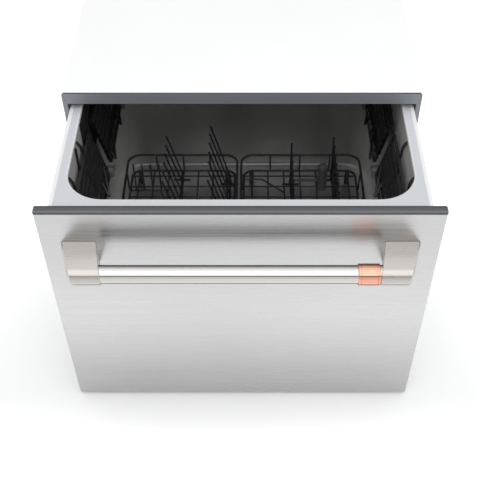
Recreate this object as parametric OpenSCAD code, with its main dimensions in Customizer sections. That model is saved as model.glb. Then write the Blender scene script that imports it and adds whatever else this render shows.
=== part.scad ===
// Tall single dishwasher drawer for a 600 mm cabinet opening, shown part open.
// +Z up, +Y to the back, origin at the middle of the chassis underside.
// Drawer pieces are placed by their distance behind the outer face of the door.

/* [Motion] */
// How far the drawer stands open
rest_open = 252; // [0:1:500]

/* [Chassis] */
// Width of the chassis over its side walls
chassis_w = 595; // [560:1:640]
// Depth of the chassis from front surround to back panel
chassis_d = 553; // [545:1:600]
// Height of the chassis under the surround's top edge
chassis_h = 478; // [476:1:520]
// Thickness of the chassis sheet
sheet_t = 1; // [0.6:0.1:1.5]
// Height of the turned-up edges of the base pan
pan_lip = 10; // [6:1:11]
// Height of the pressed beads in base and back
bead_h = 2; // [1:0.5:3]
// Radius of the cabinet fixing holes in the side walls
side_hole_r = 2.5; // [2:0.1:3.5]
// Height of the lower cabinet fixing hole
side_hole_z = 70; // [40:1:100]
// Spacing of the two cabinet fixing holes on a side
side_hole_pitch = 330; // [300:1:350]
// Distance of the cabinet fixing holes behind the surround
side_hole_back = 16; // [10:1:24]

/* [Front surround] */
// How far the surround stands out over the side walls and the top
surround_over = 1; // [0.5:0.1:3]
// Height of the surround's top bar
top_bar_h = 21.5; // [18:0.5:24]
// Width of the surround's side bars
side_bar_w = 8; // [6:0.1:9]
// Depth of the surround
surround_d = 12; // [8:0.5:16]
// Cut corner at each top end of the surround
surround_cut = 3.5; // [1:0.5:6]

/* [Door] */
// Width of the door
door_w = 598; // [590:1:640]
// Height of the door's steel face
door_h = 465; // [450:1:480]
// Thickness of the door
door_t = 18; // [16:1:24]
// Height of the door's lower edge above the cabinet floor
door_lift = 6; // [3:1:12]
// Gap between the shut door and the surround
door_gap = 2; // [1:0.5:4]
// Thickness of the door's steel skin
skin_t = 1; // [0.6:0.1:1.5]
// Depth of the dark control strip on the door's top edge
cap_d = 14.8; // [12:0.1:16]
// Height of the dark control strip
cap_h = 5; // [3:0.5:6]

/* [Handle] */
// Distance of the bar's axis below the top of the steel face
handle_drop = 78.5; // [60:0.5:120]
// Distance of the bar's axis in front of the door
handle_reach = 45.5; // [40:0.5:60]
// Diameter of the bar
bar_d = 28; // [20:0.5:30]
// Clear length of the bar between its brackets
bar_clear = 412; // [360:1:440]
// Diameter of the copper ring
ring_d = 32.6; // [31:0.1:36]
// Length of the copper ring
ring_len = 31.6; // [20:0.1:60]
// Gap between the copper ring and the right bracket
ring_gap = 2.6; // [1:0.1:20]
// Width of a bracket where it meets the door
foot_w = 50; // [40:1:60]
// Height of a bracket where it meets the door
foot_h = 46; // [38:1:60]
// Width of a bracket at the bar
tip_w = 46; // [38:1:56]
// Diameter of a bracket's round end
tip_d = 32; // [30.5:0.5:37]
// How far a bracket's foot lies outside its end at the bar
foot_spread = 10; // [0:1:16]
// Thickness of a bracket's straight foot
foot_t = 3; // [2:0.5:6]
// Radius of the bracket screws
screw_r = 3; // [2:0.1:4]
// Spacing of the two screws of a bracket
screw_pitch = 22; // [18:1:28]

/* [Tub] */
// Distance of the tub opening behind the door's face
opening_front = 57; // [50:1:70]
// Space kept behind the tub for the lid motors
back_space = 34; // [33:1:45]
// Corner radius of the tub opening
corner_r = 60; // [30:1:80]
// Width of the rim beside and behind the opening
rim_side = 20; // [19:0.1:21.5]
// How far the rim stands out over the tub's outer shell
rim_out = 6.5; // [5:0.1:7]
// Distance of the rim's top face below the chassis top
rim_down = 30; // [27:0.5:34]
// Thickness of the rim
rim_t = 6; // [4:0.5:8]
// Depth of the rim's outer skirt
skirt_h = 14; // [8:1:20]
// How far the rim overhangs the steel liner
rim_over = 1.5; // [0.5:0.1:3]
// Thickness of the steel liner
liner_t = 1; // [0.6:0.1:1.5]
// Height of the tub's floor
floor_z = 101; // [98:1:110]
// Thickness of the tub's outer shell
shell_t = 2.5; // [2:0.1:3]
// Width of the space for a runner between shell and chassis wall
runner_space = 14.5; // [13.5:0.1:15]
// Height of the shell's lower edge
shell_low = 16; // [15:1:30]
// Clearance round the insulation
pad_gap = 0.3; // [0.2:0.1:1]

/* [Runners] */
// Length of a runner member
runner_len = 500; // [440:1:504]
// Height of the runners' middle line
runner_z = 180; // [140:1:300]
// Height of the outer runner member
runner_h = 46; // [40:1:60]
// Thickness of the runner steel
runner_t = 1.5; // [1:0.1:2]
// Step in height from one runner member to the next
runner_step = 8; // [6:0.5:10]
// Depth of a runner member's lips
runner_lip = 5.5; // [4:0.1:5.8]

/* [Lid] */
// Distance that the lid drops to seal the tub
lid_drop = 10; // [6:0.5:12]
// Thickness of the lid panel
lid_t = 10; // [7:0.5:11]
// Height of the lid seal
seal_h = 5; // [3:0.5:6]
// Width of the lid seal
seal_w = 8; // [5:0.5:12]
// Gap that the shut lid leaves over the rim
lid_gap = 0.5; // [0.4:0.1:1]
// Radius of the lid's lifting rods
rod_r = 4; // [3:0.5:6]
// Distance of the lifting rods from the middle
rod_x = 200; // [120:1:230]
// Running clearance of rods, shafts and pins
run_gap = 0.05; // [0.03:0.01:0.1]

/* [Wash system] */
// Distance of the pump and spray arm axis behind the door's face
wash_y = 280; // [270:1:290]
// Outer radius of the sump
sump_r = 95; // [80:1:100]
// Depth of the sump under the tub's floor
sump_h = 49; // [46:1:55]
// Wall of the sump
sump_t = 3; // [2:0.5:4]
// Reach of the spray arm from its axis
arm_r = 160; // [120:1:165]
// Radius of the pump motor
motor_r = 60; // [50:1:70]
// Height of the motor's underside
motor_low = 12; // [10:1:14]
// Radius of the motor's rotor
rotor_r = 22; // [16:1:30]
// Radius of the pump shaft
shaft_r = 4; // [3:0.5:6]
// Radius of the pump wheel
wheel_r = 36; // [28:1:40]
// Outer radius of the tube that carries the spray arm
spigot_r = 11; // [9:0.5:13]
// Radius of the drain filter
filter_r = 27; // [22:1:28]
// Sideways place of the drain filter
filter_x = 58; // [56:1:62]

/* [Racks] */
// Clearance between the racks and the side walls
rack_side_gap = 31; // [28:1:34]
// Distance of the racks' front rail behind the opening's front edge
rack_front_gap = 28; // [22:1:34]
// Distance of the racks' rear rail ahead of the opening's rear edge
rack_rear_gap = 48; // [42:1:52]
// Half of the gap between the two racks
rack_half_gap = 6; // [4:1:8]
// How far the gap between the racks lies to the left
rack_shift = 11; // [0:1:14]
// Height of the racks' top rail over the floor
rail_up = 70; // [60:1:74]
// Height of the racks' base over the floor
base_up = 31; // [29:1:33]
// Diameter of the rail wire
rail_d = 5; // [4:0.5:6]
// Diameter of the grid wires
wire_d = 3.5; // [3:0.1:4]
// Corner radius of the rails
rail_r = 24; // [16:1:30]
// Largest spacing of the grid wires
grid_pitch = 34; // [28:1:50]
// Radius of a rack's foot
rack_foot_r = 5; // [4:0.5:7]

/* [Folding tines] */
// Diameter of a tine
tine_d = 3.5; // [3:0.1:4]
// Spacing of the tines
tine_pitch = 26; // [22:1:32]
// Height of a tine row's pivot over the rack's base
pivot_up = 8; // [7.5:0.5:9]
// Radius of a tine row's pivot wire
pivot_r = 2; // [1.5:0.1:2.2]

/* [Cup racks] */
// Distance of the cup racks' hinges below the rim
cup_hinge_down = 142; // [136:1:150]
// Distance of the cup racks' hinges from the side walls
cup_hinge_in = 30; // [27:1:34]
// Depth of a cup rack
cup_depth = 100; // [80:1:104]
// Length of a cup rack
cup_len = 186; // [150:1:188]
// Outward lean of a stowed cup rack in degrees
cup_lean = 13; // [12:0.5:14]
// Thickness of a cup rack's slats
slat_t = 5; // [3:0.5:6]
// Number of slats in a cup rack
slats = 7; // [5:1:9]
// How far the cup bars stand off the slats
cup_bar_off = 27; // [20:1:28]

/* [Cutlery basket] */
// Width of the cutlery basket
basket_w = 68; // [50:1:70]
// Length of the cutlery basket
basket_l = 112; // [90:1:114]
// Height of the cutlery basket
basket_h = 112; // [90:1:114]
// Wall of the cutlery basket
basket_t = 2; // [1.5:0.1:3]

/* [Dispenser] */
// Width of the detergent dispenser
disp_w = 120; // [110:1:130]
// Height of the detergent dispenser
disp_h = 76; // [70:1:80]
// Distance of the dispenser's middle line below the rim
disp_down = 82; // [74:1:90]
// How far the dispenser stands out of the liner
disp_out = 4; // [3:0.5:6]
// Depth of the dispenser behind the liner
disp_in = 22; // [16:1:26]
// Width and height of the detergent flap
flap = 52; // [44:1:56]
// Radius of the rinse aid cap
cap_r = 15; // [12:1:17]

/* [Services] */
// Outer radius of the water inlet's hose thread
inlet_r = 13; // [12:0.1:14]
// Length of the water inlet's hose thread
inlet_len = 16; // [12:1:20]
// Outer radius of the drain spigot
drain_r = 10; // [8:0.5:12]
// Length of the drain spigot
drain_len = 24; // [16:1:30]
// Height of the services on the back panel
service_z = 60; // [50:1:70]

/* [Hidden] */
$fn = 48;

eps = 0.01;
left = -1;
right = 1;

// Flap hinge
flap_pin_r = 1.2;
flap_barrel_r = 2.5;
lug_t = 4;

// Chassis
half_w = chassis_w / 2;
half_in = half_w - sheet_t;
front_y = -chassis_d / 2;
back_y = chassis_d / 2;
back_in = back_y - sheet_t;
wrap_y = front_y + surround_d;
screw_flange = 12;
back_screw_end = 30;
back_screw_z = [back_screw_end, chassis_h / 2, chassis_h - back_screw_end];
back_screw_r = 1.8;
back_screw_in = 4;
back_head_r = 3.5;
base_bead_w = 24;
base_bead_pitch = 140;
base_bead_front = 40;
base_bead_back = 60;
back_bead_w = 16;
back_bead_z = [for (i = [0:2]) service_z + 70 + i * 80];
back_bead_end = 40;
side_holes = [side_hole_z, side_hole_z + side_hole_pitch];
side_hole_y = front_y + surround_d + side_hole_back;

// Front surround
surround_half = half_w + surround_over;
surround_top_z = chassis_h + surround_over;
surround_in = surround_half - side_bar_w;
top_bar_z = surround_top_z - top_bar_h;

// Door
drawer_y = front_y - door_gap - door_t - rest_open;
door_half = door_w / 2;
door_top = door_lift + door_h;
core_rib = 8;
core_skin = 2;

// Handle
bar_z = door_top - handle_drop;
bracket_in = bar_clear / 2;
foot_mid = bracket_in + foot_spread + foot_w / 2;
head_r = screw_r + 2.5;
head_h = 4;
screw_in = 22;

// Tub
shell_half = half_in - runner_space;
rim_half = shell_half + rim_out;
rim_back = back_in - back_space - front_y + door_gap + door_t;
rim_front = door_t + 0.5;
open_half = rim_half - rim_side;
opening_back = rim_back - rim_side;
rim_top = chassis_h - rim_down;
rim_low = rim_top - rim_t;
flange_t = 1;
rim_edge_r = 9;
skirt_t = rim_out - 4;
shell_back = rim_back - skirt_t - 0.5;
shell_top = rim_low - flange_t;
shell_r = 12;
liner_half = open_half + rim_over;
liner_front = opening_front - rim_over;
floor_low = floor_z - liner_t;
deck_t = 3;
liner_lip = 7;
pad_low = floor_z + 4;
pad_high = rim_top - skirt_h - 1;
hose_cut_h = 44;
hose_cut_side = 26;

// Runners
runner_y = wrap_y + 2;

// Lid
lid_half = rim_half - 4.5;
lid_front = wrap_y + 2.5;
lid_back = front_y - door_gap - door_t + rim_back - 3.5;
lid_low = rim_top + lid_gap + lid_drop + seal_h;
lid_top = lid_low + lid_t;
lid_skin = 2.5;
yoke_t = 2;
yoke_half = lid_half + yoke_t;
pin_r = 2;
pin_z = lid_low + lid_t / 2;
guide_in = rim_half + 1.3;
guide_l = 20;
guide_wall = 3;
slot_gap = 0.3;
guide_y = lid_front + 27 + guide_l / 2;
seal_in = 4;
ear_w = 36;
motor_top = lid_low - lid_drop - 1.5;
motor_box = [36, 31, 60];
motor_floor = 8;
rod_y = back_in - 18;
rod_in = 34;

// Wash system
sump_low = floor_z - sump_h;
sump_flange = 9;
deck_hole_r = sump_r - 2;
rotor_low = motor_low + 4;
rotor_top = motor_low + 26;
housing_top = motor_low + 28;
shaft_top = sump_low + sump_t + 8;
wheel_low = sump_low + sump_t + 3;
wheel_h = 9;
cover_h = 22;
spigot_top = floor_z + 17;
spigot_wall = 3;
cover_t = 2;
cover_r = wheel_r + 6;
cover_slot = [12, 10, 7];
heater_r = sump_r - 14;
heater_w = 14;
heater_h = 6;
stator_gap = 0.8;
post_inset = 7;
motor_post_r = 4;
drain_stub_z = sump_low + 20;
drain_stub_l = 26;
plate_t = 1.5;
plate_r = sump_r + 6;
arm_low = floor_z + 7;
arm_h = 9;
hub_r = spigot_r + 12;
filter_y = wash_y - 22;
filter_low = sump_low + sump_t + cover_h + 2;
drain_stub_r = 8;

// Racks
rack_left_out = -open_half + rack_side_gap;
rack_left_in = -rack_shift - rack_half_gap;
rack_right_in = -rack_shift + rack_half_gap;
rack_right_out = open_half - rack_side_gap;
rack_front = opening_front + rack_front_gap;
rack_back = opening_back - rack_rear_gap;
rail_z = floor_z + rail_up;
base_z = floor_z + base_up;
pivot_z = base_z + pivot_up;
rail_wire = rail_d / 2;
grid_wire = wire_d / 2;
clip_w = 7;
clip_l = 6;
tine_r = tine_d / 2;
tip_r = tine_r + 0.6;

// Folding tines: pivot x, first y, length of a tine, lean to the left in degrees
row_back = rack_back - 10;
short_row_y = row_back - 6.9 * tine_pitch;
long_row_y = row_back - 12.4 * tine_pitch;
row_left_inner = [rack_left_in - 11, short_row_y, 140, 15];
row_left_outer = [rack_left_in - 111, long_row_y, 100, 15];
row_right_inner = [rack_right_in + 101, short_row_y, 90, 0];
row_right_outer = [rack_right_in + 186, long_row_y, 94, 0];

// Fixed wires and the post, in the middle between two folding tines
still_y = row_right_outer[1] + 10.5 * tine_pitch;
guard_h = 72;
guards = 4;
post_r = 10;
post_h = 58;
post_x = row_right_outer[0] - 22;
post_arm_up = 24;
post_arm_r = 3;
guard_pitch = 17;

// Cup racks
cup_hinge_x = open_half - cup_hinge_in;
cup_pin_r = 3;
cup_gap = 8;
cup_lead = 10;
cup_front_y = (opening_front + opening_back - cup_gap) / 2 - cup_len - cup_lead;
cup_rear_y = cup_front_y + cup_len + cup_gap;
cup_bar_r = 1.75;
cup_bar_in = 10;
cup_hinge_z = rim_top - cup_hinge_down;
cup_post_w = 6;
hinge_block = 14;
hinge_arm = 8;

// Cutlery basket
basket_x = rack_right_in + 12;
basket_y = rack_front + 22;
basket_z = base_z + rail_wire + 0.5;
basket_slots = 5;

// Dispenser
disp_z = rim_top - disp_down;
disp_y = liner_front - disp_in;
disp_face = liner_front + liner_t + disp_out;
disp_edge = 8;
disp_frame = 4;
well = 12;
flap_x = -disp_w / 2 + disp_edge + flap / 2;
flap_t = 3;
flap_z = disp_z - flap / 2;
cap_x = disp_w / 2 - disp_edge - cap_r;
cap_neck_r = cap_r - 4;

// Hose loop between chassis and drawer, lying flat under the tub
hose_r = 8;
hose_turn_r = 36;
hose_x = 160;
hose_z = 28;
hose_fixed_y = -40;
hose_clip_y = wash_y + 110;
hose_moving_y = drawer_y + hose_clip_y;
hose_spare = 400;
hose_turn_y = (hose_spare + hose_fixed_y + hose_moving_y) / 2;
clip_t = 12;

// Services
valve_x = -200;
control_x = -30;
control_size = [120, 32, 100];
control_low = 16;
control_t = 3;
drain_x = -140;
drain_wall = 3;
inlet_wall = 4;
mains_x = 210;
mains_r = 10.5;
mains_bore = 5;
valve_body = [32, 28, 52];

// Straight wire between any two points in a plane across the drawer
module slant_wire(a, b, r) {
    run = b - a;
    translate(a) rotate([0, 90 - atan2(run.z, run.x), 0]) cylinder(r = r, h = norm(run));
}

module box(low, high) { translate(low) cube(high - low); }

// A box centred on x and y
module block(size, low_z) { translate([-size.x / 2, -size.y / 2, low_z]) cube(size); }

// The same shape on both sides of the middle plane
module both_sides() { for (s = [left, right]) scale_x(s) children(); }
module scale_x(s) { if (s < 0) mirror([1, 0, 0]) children(); else children(); }

module in_drawer() { translate([0, drawer_y, 0]) children(); }
module at_wash_axis() { translate([0, wash_y, 0]) children(); }

// Flat outline with round corners, from a low corner to a high corner
module round_outline(low, high, r) {
    translate([low.x + r, low.y]) square([high.x - low.x - 2 * r, high.y - low.y]);
    translate([low.x, low.y + r]) square([high.x - low.x, high.y - low.y - 2 * r]);
    for (x = [low.x + r, high.x - r], y = [low.y + r, high.y - r]) translate([x, y]) circle(r);
}

module round_block(low, high, r, z0, z1) {
    translate([0, 0, z0]) linear_extrude(z1 - z0) round_outline(low, high, r);
}

// Straight wire between two points that differ along one axis
module wire(a, b, r) {
    run = b - a;
    turn = run.x != 0 ? [0, 90, 0] : run.y != 0 ? [-90, 0, 0] : [0, 0, 0];
    translate(a) rotate(turn) cylinder(r = r, h = norm(run));
}

// Quarter bend of a wire in a flat plane, starting at angle a
module bend(at, r, wire_r, a) {
    translate(at) rotate([0, 0, a]) rotate_extrude(angle = 90) translate([r, 0]) circle(wire_r);
}

// Closed flat loop of wire with round corners
module wire_loop(x0, y0, x1, y1, z, r, wire_r) {
    for (y = [y0, y1]) wire([x0 + r, y, z], [x1 - r, y, z], wire_r);
    for (x = [x0, x1]) wire([x, y0 + r, z], [x, y1 - r, z], wire_r);
    bend([x1 - r, y1 - r, z], r, wire_r, 0);
    bend([x0 + r, y1 - r, z], r, wire_r, 90);
    bend([x0 + r, y0 + r, z], r, wire_r, 180);
    bend([x1 - r, y0 + r, z], r, wire_r, 270);
}

// Evenly spaced places between two limits, no further apart than a pitch
function spread(a, b, pitch) =
    let (n = max(1, ceil((b - a) / pitch))) [for (i = [1:n]) a + (b - a) * (i - 0.5) / n];

// ---- Chassis ----

module chassis_wrap() {
    color("whitesmoke") difference() {
        box([-half_w, wrap_y, 0], [half_w, back_in, chassis_h]);
        box([-half_in, wrap_y - 1, -1], [half_in, back_in - sheet_t, chassis_h - sheet_t]);
        box([-half_in + screw_flange, back_in - 2 * sheet_t, -1],
            [half_in - screw_flange, back_in + 1, chassis_h - sheet_t - screw_flange]);
        for (x = [-1, 1], z = side_holes)
            translate([x * half_w - 2, side_hole_y, z]) rotate([0, 90, 0]) cylinder(r = side_hole_r, h = 4);
        at_back_screws() cylinder(r = back_screw_r + run_gap, h = 6, center = true);
    }
}

module at_back_screws() {
    for (x = [-1, 1], z = back_screw_z)
        translate([x * (half_in - screw_flange / 2), back_in, z]) rotate([-90, 0, 0]) children();
}

module chassis_base() {
    color("lightgray") {
        box([-half_in, wrap_y, 0], [half_in, back_in - sheet_t, sheet_t]);
        for (x = [-half_in, half_in - sheet_t])
            box([x, wrap_y, sheet_t - eps], [x + sheet_t, back_in - sheet_t, pan_lip]);
        for (y = [wrap_y, back_in - 2 * sheet_t])
            box([-half_in, y, sheet_t - eps], [half_in, y + sheet_t, pan_lip]);
        for (x = spread(-half_in + base_bead_w, half_in - base_bead_w, base_bead_pitch))
            box([x - base_bead_w / 2, wrap_y + base_bead_front, sheet_t - eps],
                [x + base_bead_w / 2, back_in - base_bead_back, sheet_t + bead_h]);
        hose_clip(hose_x - hose_turn_r, hose_fixed_y - clip_t, sheet_t - eps, hose_z + hose_r + 4);
    }
}

module chassis_back() {
    color("lightgray") difference() {
        union() {
            box([-half_w, back_in, 0], [half_w, back_y, chassis_h]);
            for (z = back_bead_z)
                box([-half_in + back_bead_end, back_in - bead_h, z],
                    [half_in - back_bead_end, back_in + eps, z + back_bead_w]);
        }
        through_back(valve_x) cylinder(r = inlet_r + 1, h = 3, center = true);
        through_back(drain_x) cylinder(r = drain_r + 1, h = 3, center = true);
        through_back(mains_x) cylinder(r = mains_r + 0.5, h = 3, center = true);
        at_back_screws() cylinder(r = back_screw_r + run_gap, h = 6, center = true);
    }
}

// Block that holds one end of the hose loop
module hose_clip(x, y, z0, z1) {
    box([x - hose_r - 4, y, z0], [x + hose_r + 4, y + clip_t, z1]);
}

module through_back(x) { translate([x, back_in + sheet_t / 2, service_z]) rotate([90, 0, 0]) children(); }

module chassis_screws() {
    color("silver") at_back_screws() {
        translate([0, 0, -back_screw_in]) cylinder(r = back_screw_r, h = back_screw_in + sheet_t + eps);
        translate([0, 0, sheet_t]) cylinder(r = back_head_r, h = 2);
    }
}

module surround_bar(points) {
    color("slategray") translate([0, front_y + surround_d, 0]) rotate([90, 0, 0])
        linear_extrude(surround_d) polygon(points);
}

module surround_top() {
    cut_x = surround_half - surround_cut;
    cut_z = surround_top_z - surround_cut;
    surround_bar([
        [-cut_x, surround_top_z], [cut_x, surround_top_z], [surround_half, cut_z],
        [surround_in, top_bar_z], [-surround_in, top_bar_z], [-surround_half, cut_z]
    ]);
}

module surround_side() {
    surround_bar([
        [surround_half, 0], [surround_half, surround_top_z - surround_cut],
        [surround_in, top_bar_z], [surround_in, 0]
    ]);
}

module surround_left() { scale_x(left) surround_side(); }
module surround_right() { surround_side(); }

// ---- Runners: three nested members, level 0 on the chassis wall and level 2 on the tub ----

module runner_member(level, y) {
    web_x = half_in - runner_t - level * (runner_space - runner_t) / 2;
    half_h = runner_h / 2 - level * runner_step / 2;
    lip_x = level == 2 ? web_x + runner_lip : web_x - runner_lip;
    lips = [min(lip_x, web_x), max(lip_x, web_x + runner_t)];
    color("gainsboro") translate([0, y, runner_z]) {
        box([web_x, 0, -half_h], [web_x + runner_t, runner_len, half_h]);
        for (z = [-half_h, half_h - runner_t])
            box([lips[0], 0, z], [lips[1], runner_len, z + runner_t]);
    }
}

module runner_right_outer() { runner_member(0, runner_y); }
module runner_left_outer() { scale_x(left) runner_right_outer(); }
module runner_middles() { both_sides() runner_member(1, runner_y - rest_open / 2); }
module runner_right_inner() { runner_member(2, runner_y - rest_open); }
module runner_left_inner() { scale_x(left) runner_right_inner(); }

// ---- Lid and its lift ----

module lid_panel() {
    pocket_w = (2 * lid_half - 5 * lid_skin) / 4;
    pocket_d = (lid_back - lid_front - 4 * lid_skin) / 3;
    color("lightgray") {
        difference() {
            box([-lid_half, lid_front, lid_low], [lid_half, lid_back, lid_top]);
            for (i = [0:3], j = [0:2])
                translate([-lid_half + lid_skin + i * (pocket_w + lid_skin),
                           lid_front + lid_skin + j * (pocket_d + lid_skin), lid_low + lid_skin])
                    cube([pocket_w, pocket_d, lid_t]);
        }
        for (x = [-rod_x, rod_x])
            box([x - ear_w / 2, lid_back - eps, lid_low],
                [x + ear_w / 2, rod_y + 3 * rod_r, lid_low + lid_t / 2]);
    }
}

module lid_seal() {
    inner = seal_in + seal_w;
    color("dimgray") difference() {
        round_block([-lid_half + seal_in, lid_front + seal_in], [lid_half - seal_in, lid_back - seal_in],
                    corner_r / 2, lid_low - seal_h, lid_low);
        round_block([-lid_half + inner, lid_front + inner], [lid_half - inner, lid_back - inner],
                    corner_r / 2 - seal_w / 2, lid_low - seal_h - 1, lid_low + 1);
    }
}

module lid_yokes() {
    color("gainsboro") both_sides() {
        box([lid_half, lid_front, lid_low], [yoke_half, lid_back, lid_top]);
        translate([yoke_half - eps, guide_y, pin_z]) rotate([0, 90, 0])
            cylinder(r = pin_r, h = half_in - sheet_t - 1 - yoke_half);
    }
}

module lid_guides() {
    slot_low = pin_z - lid_drop - pin_r - 1;
    slot_high = pin_z + pin_r + 1;
    color("dimgray") both_sides() difference() {
        box([guide_in, guide_y - guide_l / 2, slot_low - guide_wall],
            [half_in, guide_y + guide_l / 2, slot_high + guide_wall]);
        box([guide_in - 1, guide_y - pin_r - slot_gap, slot_low],
            [half_in - sheet_t, guide_y + pin_r + slot_gap, slot_high]);
    }
}

module lid_rods() {
    color("silver") for (x = [-rod_x, rod_x]) translate([x, rod_y, motor_top - rod_in])
        cylinder(r = rod_r, h = lid_low - motor_top + rod_in);
}

module lid_motors() {
    box_low = motor_top - motor_box.z;
    color("dimgray") for (x = [-rod_x, rod_x]) translate([x, 0, 0]) difference() {
        translate([-motor_box.x / 2, back_in - motor_box.y, box_low]) cube(motor_box);
        translate([0, rod_y, box_low + motor_floor]) cylinder(r = rod_r + run_gap, h = motor_box.z);
    }
}

// ---- Services at the back ----

module water_valve() {
    color("white") {
        difference() {
            through_back(valve_x) translate([0, 0, -inlet_len]) cylinder(r = inlet_r, h = inlet_len + 30);
            through_back(valve_x) translate([0, 0, -inlet_len - 1])
                cylinder(r = inlet_r - inlet_wall, h = inlet_len + 20);
        }
        translate([valve_x - valve_body.x / 2, back_in - valve_body.y, service_z - 18]) cube(valve_body);
    }
}

module drain_spigot() {
    color("dimgray") through_back(drain_x) difference() {
        union() {
            translate([0, 0, -drain_len]) cylinder(r = drain_r, h = drain_len + 24);
            translate([0, 0, sheet_t / 2]) cylinder(r = drain_r + 6, h = 20);
        }
        translate([0, 0, -drain_len - 1]) cylinder(r = drain_r - drain_wall, h = drain_len + 40);
    }
}

module mains_inlet() {
    color("dimgray") through_back(mains_x) difference() {
        union() {
            translate([0, 0, -8]) cylinder(r = mains_r, h = 20);
            translate([0, 0, sheet_t / 2]) cylinder(r = mains_r + 4.5, h = 11);
        }
        translate([0, 0, -9]) cylinder(r = mains_bore, h = 40);
    }
}

module control_box() {
    color("lightgray") difference() {
        translate([control_x - control_size.x / 2, back_in - control_size.y, control_low]) cube(control_size);
        translate([control_x - control_size.x / 2 + control_t, back_in - control_size.y + control_t,
                   control_low + control_t])
            cube([control_size.x - 2 * control_t, control_size.y, control_size.z - 2 * control_t]);
    }
}

module link_hose() {
    color("black") {
        for (leg = [[left, hose_fixed_y], [right, hose_moving_y]])
            wire([hose_x + leg[0] * hose_turn_r, leg[1], hose_z],
                 [hose_x + leg[0] * hose_turn_r, hose_turn_y, hose_z], hose_r);
        translate([hose_x, hose_turn_y, hose_z]) rotate_extrude(angle = 180)
            translate([hose_turn_r, 0]) circle(hose_r);
    }
}

// ---- Door ----

module at_handle_screws() {
    for (x = [-foot_mid, foot_mid], z = [-screw_pitch / 2, screw_pitch / 2])
        translate([x, 0, bar_z + z]) rotate([-90, 0, 0]) children();
}

module door_skin() {
    color("silver") in_drawer() difference() {
        box([-door_half, 0, door_lift], [door_half, door_t - 2, door_top]);
        box([-door_half + skin_t, skin_t, door_lift + skin_t], [door_half - skin_t, door_t, door_top + 1]);
        at_handle_screws() cylinder(r = screw_r + run_gap, h = 3 * skin_t, center = true);
    }
}

module door_core() {
    low = [-door_half + skin_t, skin_t, door_lift + skin_t];
    high = [door_half - skin_t, door_t, door_top];
    cell_w = (high.x - low.x - 4 * core_rib) / 3;
    cell_h = (high.z - low.z - 3 * core_rib) / 2;
    color("lightgray") in_drawer() difference() {
        box(low, high);
        for (i = [0:2], j = [0:1])
            translate([low.x + core_rib + i * (cell_w + core_rib), low.y - 1,
                       low.z + core_rib + j * (cell_h + core_rib)])
                difference() {
                    cube([cell_w, door_t - skin_t - core_skin + 1, cell_h]);
                    for (s = [left, right])
                        translate([s * foot_mid - low.x - core_rib - i * (cell_w + core_rib), 0,
                                   bar_z - low.z - core_rib - j * (cell_h + core_rib)])
                            cube([foot_w, 2 * door_t, foot_h + 10], center = true);
                }
        at_handle_screws() cylinder(r = screw_r + run_gap, h = 2 * door_t);
        at_handle_screws() translate([0, 0, door_t - head_h - 0.5])
            cylinder(r = head_r + 0.5, h = head_h + 1);
    }
}

module door_cap() {
    color("dimgray") in_drawer() translate([-door_half, 0, door_top]) rotate([90, 0, 90])
        linear_extrude(door_w) polygon([[0, 0], [cap_d, 0], [cap_d, cap_h], [0.8, cap_h], [0, cap_h - 0.8]]);
}

// ---- Handle ----

module handle_bar() {
    color("gainsboro") in_drawer()
        wire([-bracket_in, -handle_reach, bar_z], [bracket_in, -handle_reach, bar_z], bar_d / 2);
}

module handle_bracket() {
    color("tan") in_drawer() difference() {
        hull() {
            translate([foot_mid - foot_w / 2, -foot_t, bar_z - foot_h / 2]) cube([foot_w, foot_t, foot_h]);
            translate([bracket_in, -handle_reach, bar_z]) rotate([0, 90, 0])
                cylinder(d = tip_d, h = tip_w, $fn = 32);
        }
        for (z = [-screw_pitch / 2, screw_pitch / 2])
            translate([foot_mid, 1, bar_z + z]) rotate([90, 0, 0]) cylinder(r = screw_r, h = screw_in + 2);
    }
}

module handle_bracket_right() { handle_bracket(); }
module handle_bracket_left() { scale_x(left) handle_bracket(); }

module handle_ring() {
    ring_x = bracket_in - ring_gap - ring_len;
    color("peru") in_drawer() translate([ring_x, -handle_reach, bar_z]) rotate([0, 90, 0]) difference() {
        cylinder(d = ring_d, h = ring_len);
        translate([0, 0, -1]) cylinder(d = bar_d, h = ring_len + 2);
    }
}

module handle_screws() {
    color("silver") in_drawer() at_handle_screws() {
        translate([0, 0, -screw_in]) cylinder(r = screw_r, h = screw_in + door_t - head_h);
        translate([0, 0, door_t - head_h - 0.5]) cylinder(r = head_r, h = head_h);
    }
}

// ---- Tub ----

module opening_block(grow, z0, z1) {
    round_block([-open_half - grow, opening_front - grow], [open_half + grow, opening_back + grow],
                corner_r + grow, z0, z1);
}

module tub_rim() {
    color("lightsteelblue") in_drawer() difference() {
        round_block([-rim_half, rim_front], [rim_half, rim_back], rim_edge_r, rim_top - skirt_h, rim_top);
        round_block([-rim_half + skirt_t, -rim_edge_r], [rim_half - skirt_t, rim_back - skirt_t],
                    rim_edge_r / 2, rim_top - skirt_h - 1, rim_low);
        opening_block(0, rim_low - 1, rim_top + 1);
    }
}

module tub_liner() {
    color("gray") in_drawer() difference() {
        union() {
            opening_block(rim_over + liner_t, floor_low, rim_low);
            opening_block(rim_over + liner_lip, shell_top, rim_low);
        }
        opening_block(rim_over, floor_z, rim_low + 1);
        at_wash_axis() translate([0, 0, floor_low - 1]) cylinder(r = deck_hole_r, h = liner_t + 2);
        dispenser_hole(0.5);
    }
}

module dispenser_hole(gap) {
    translate([0, disp_y + disp_in / 2, disp_z])
        cube([disp_w + 2 * gap, disp_in + 2 * gap + 8, disp_h + 2 * gap], center = true);
}

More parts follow.
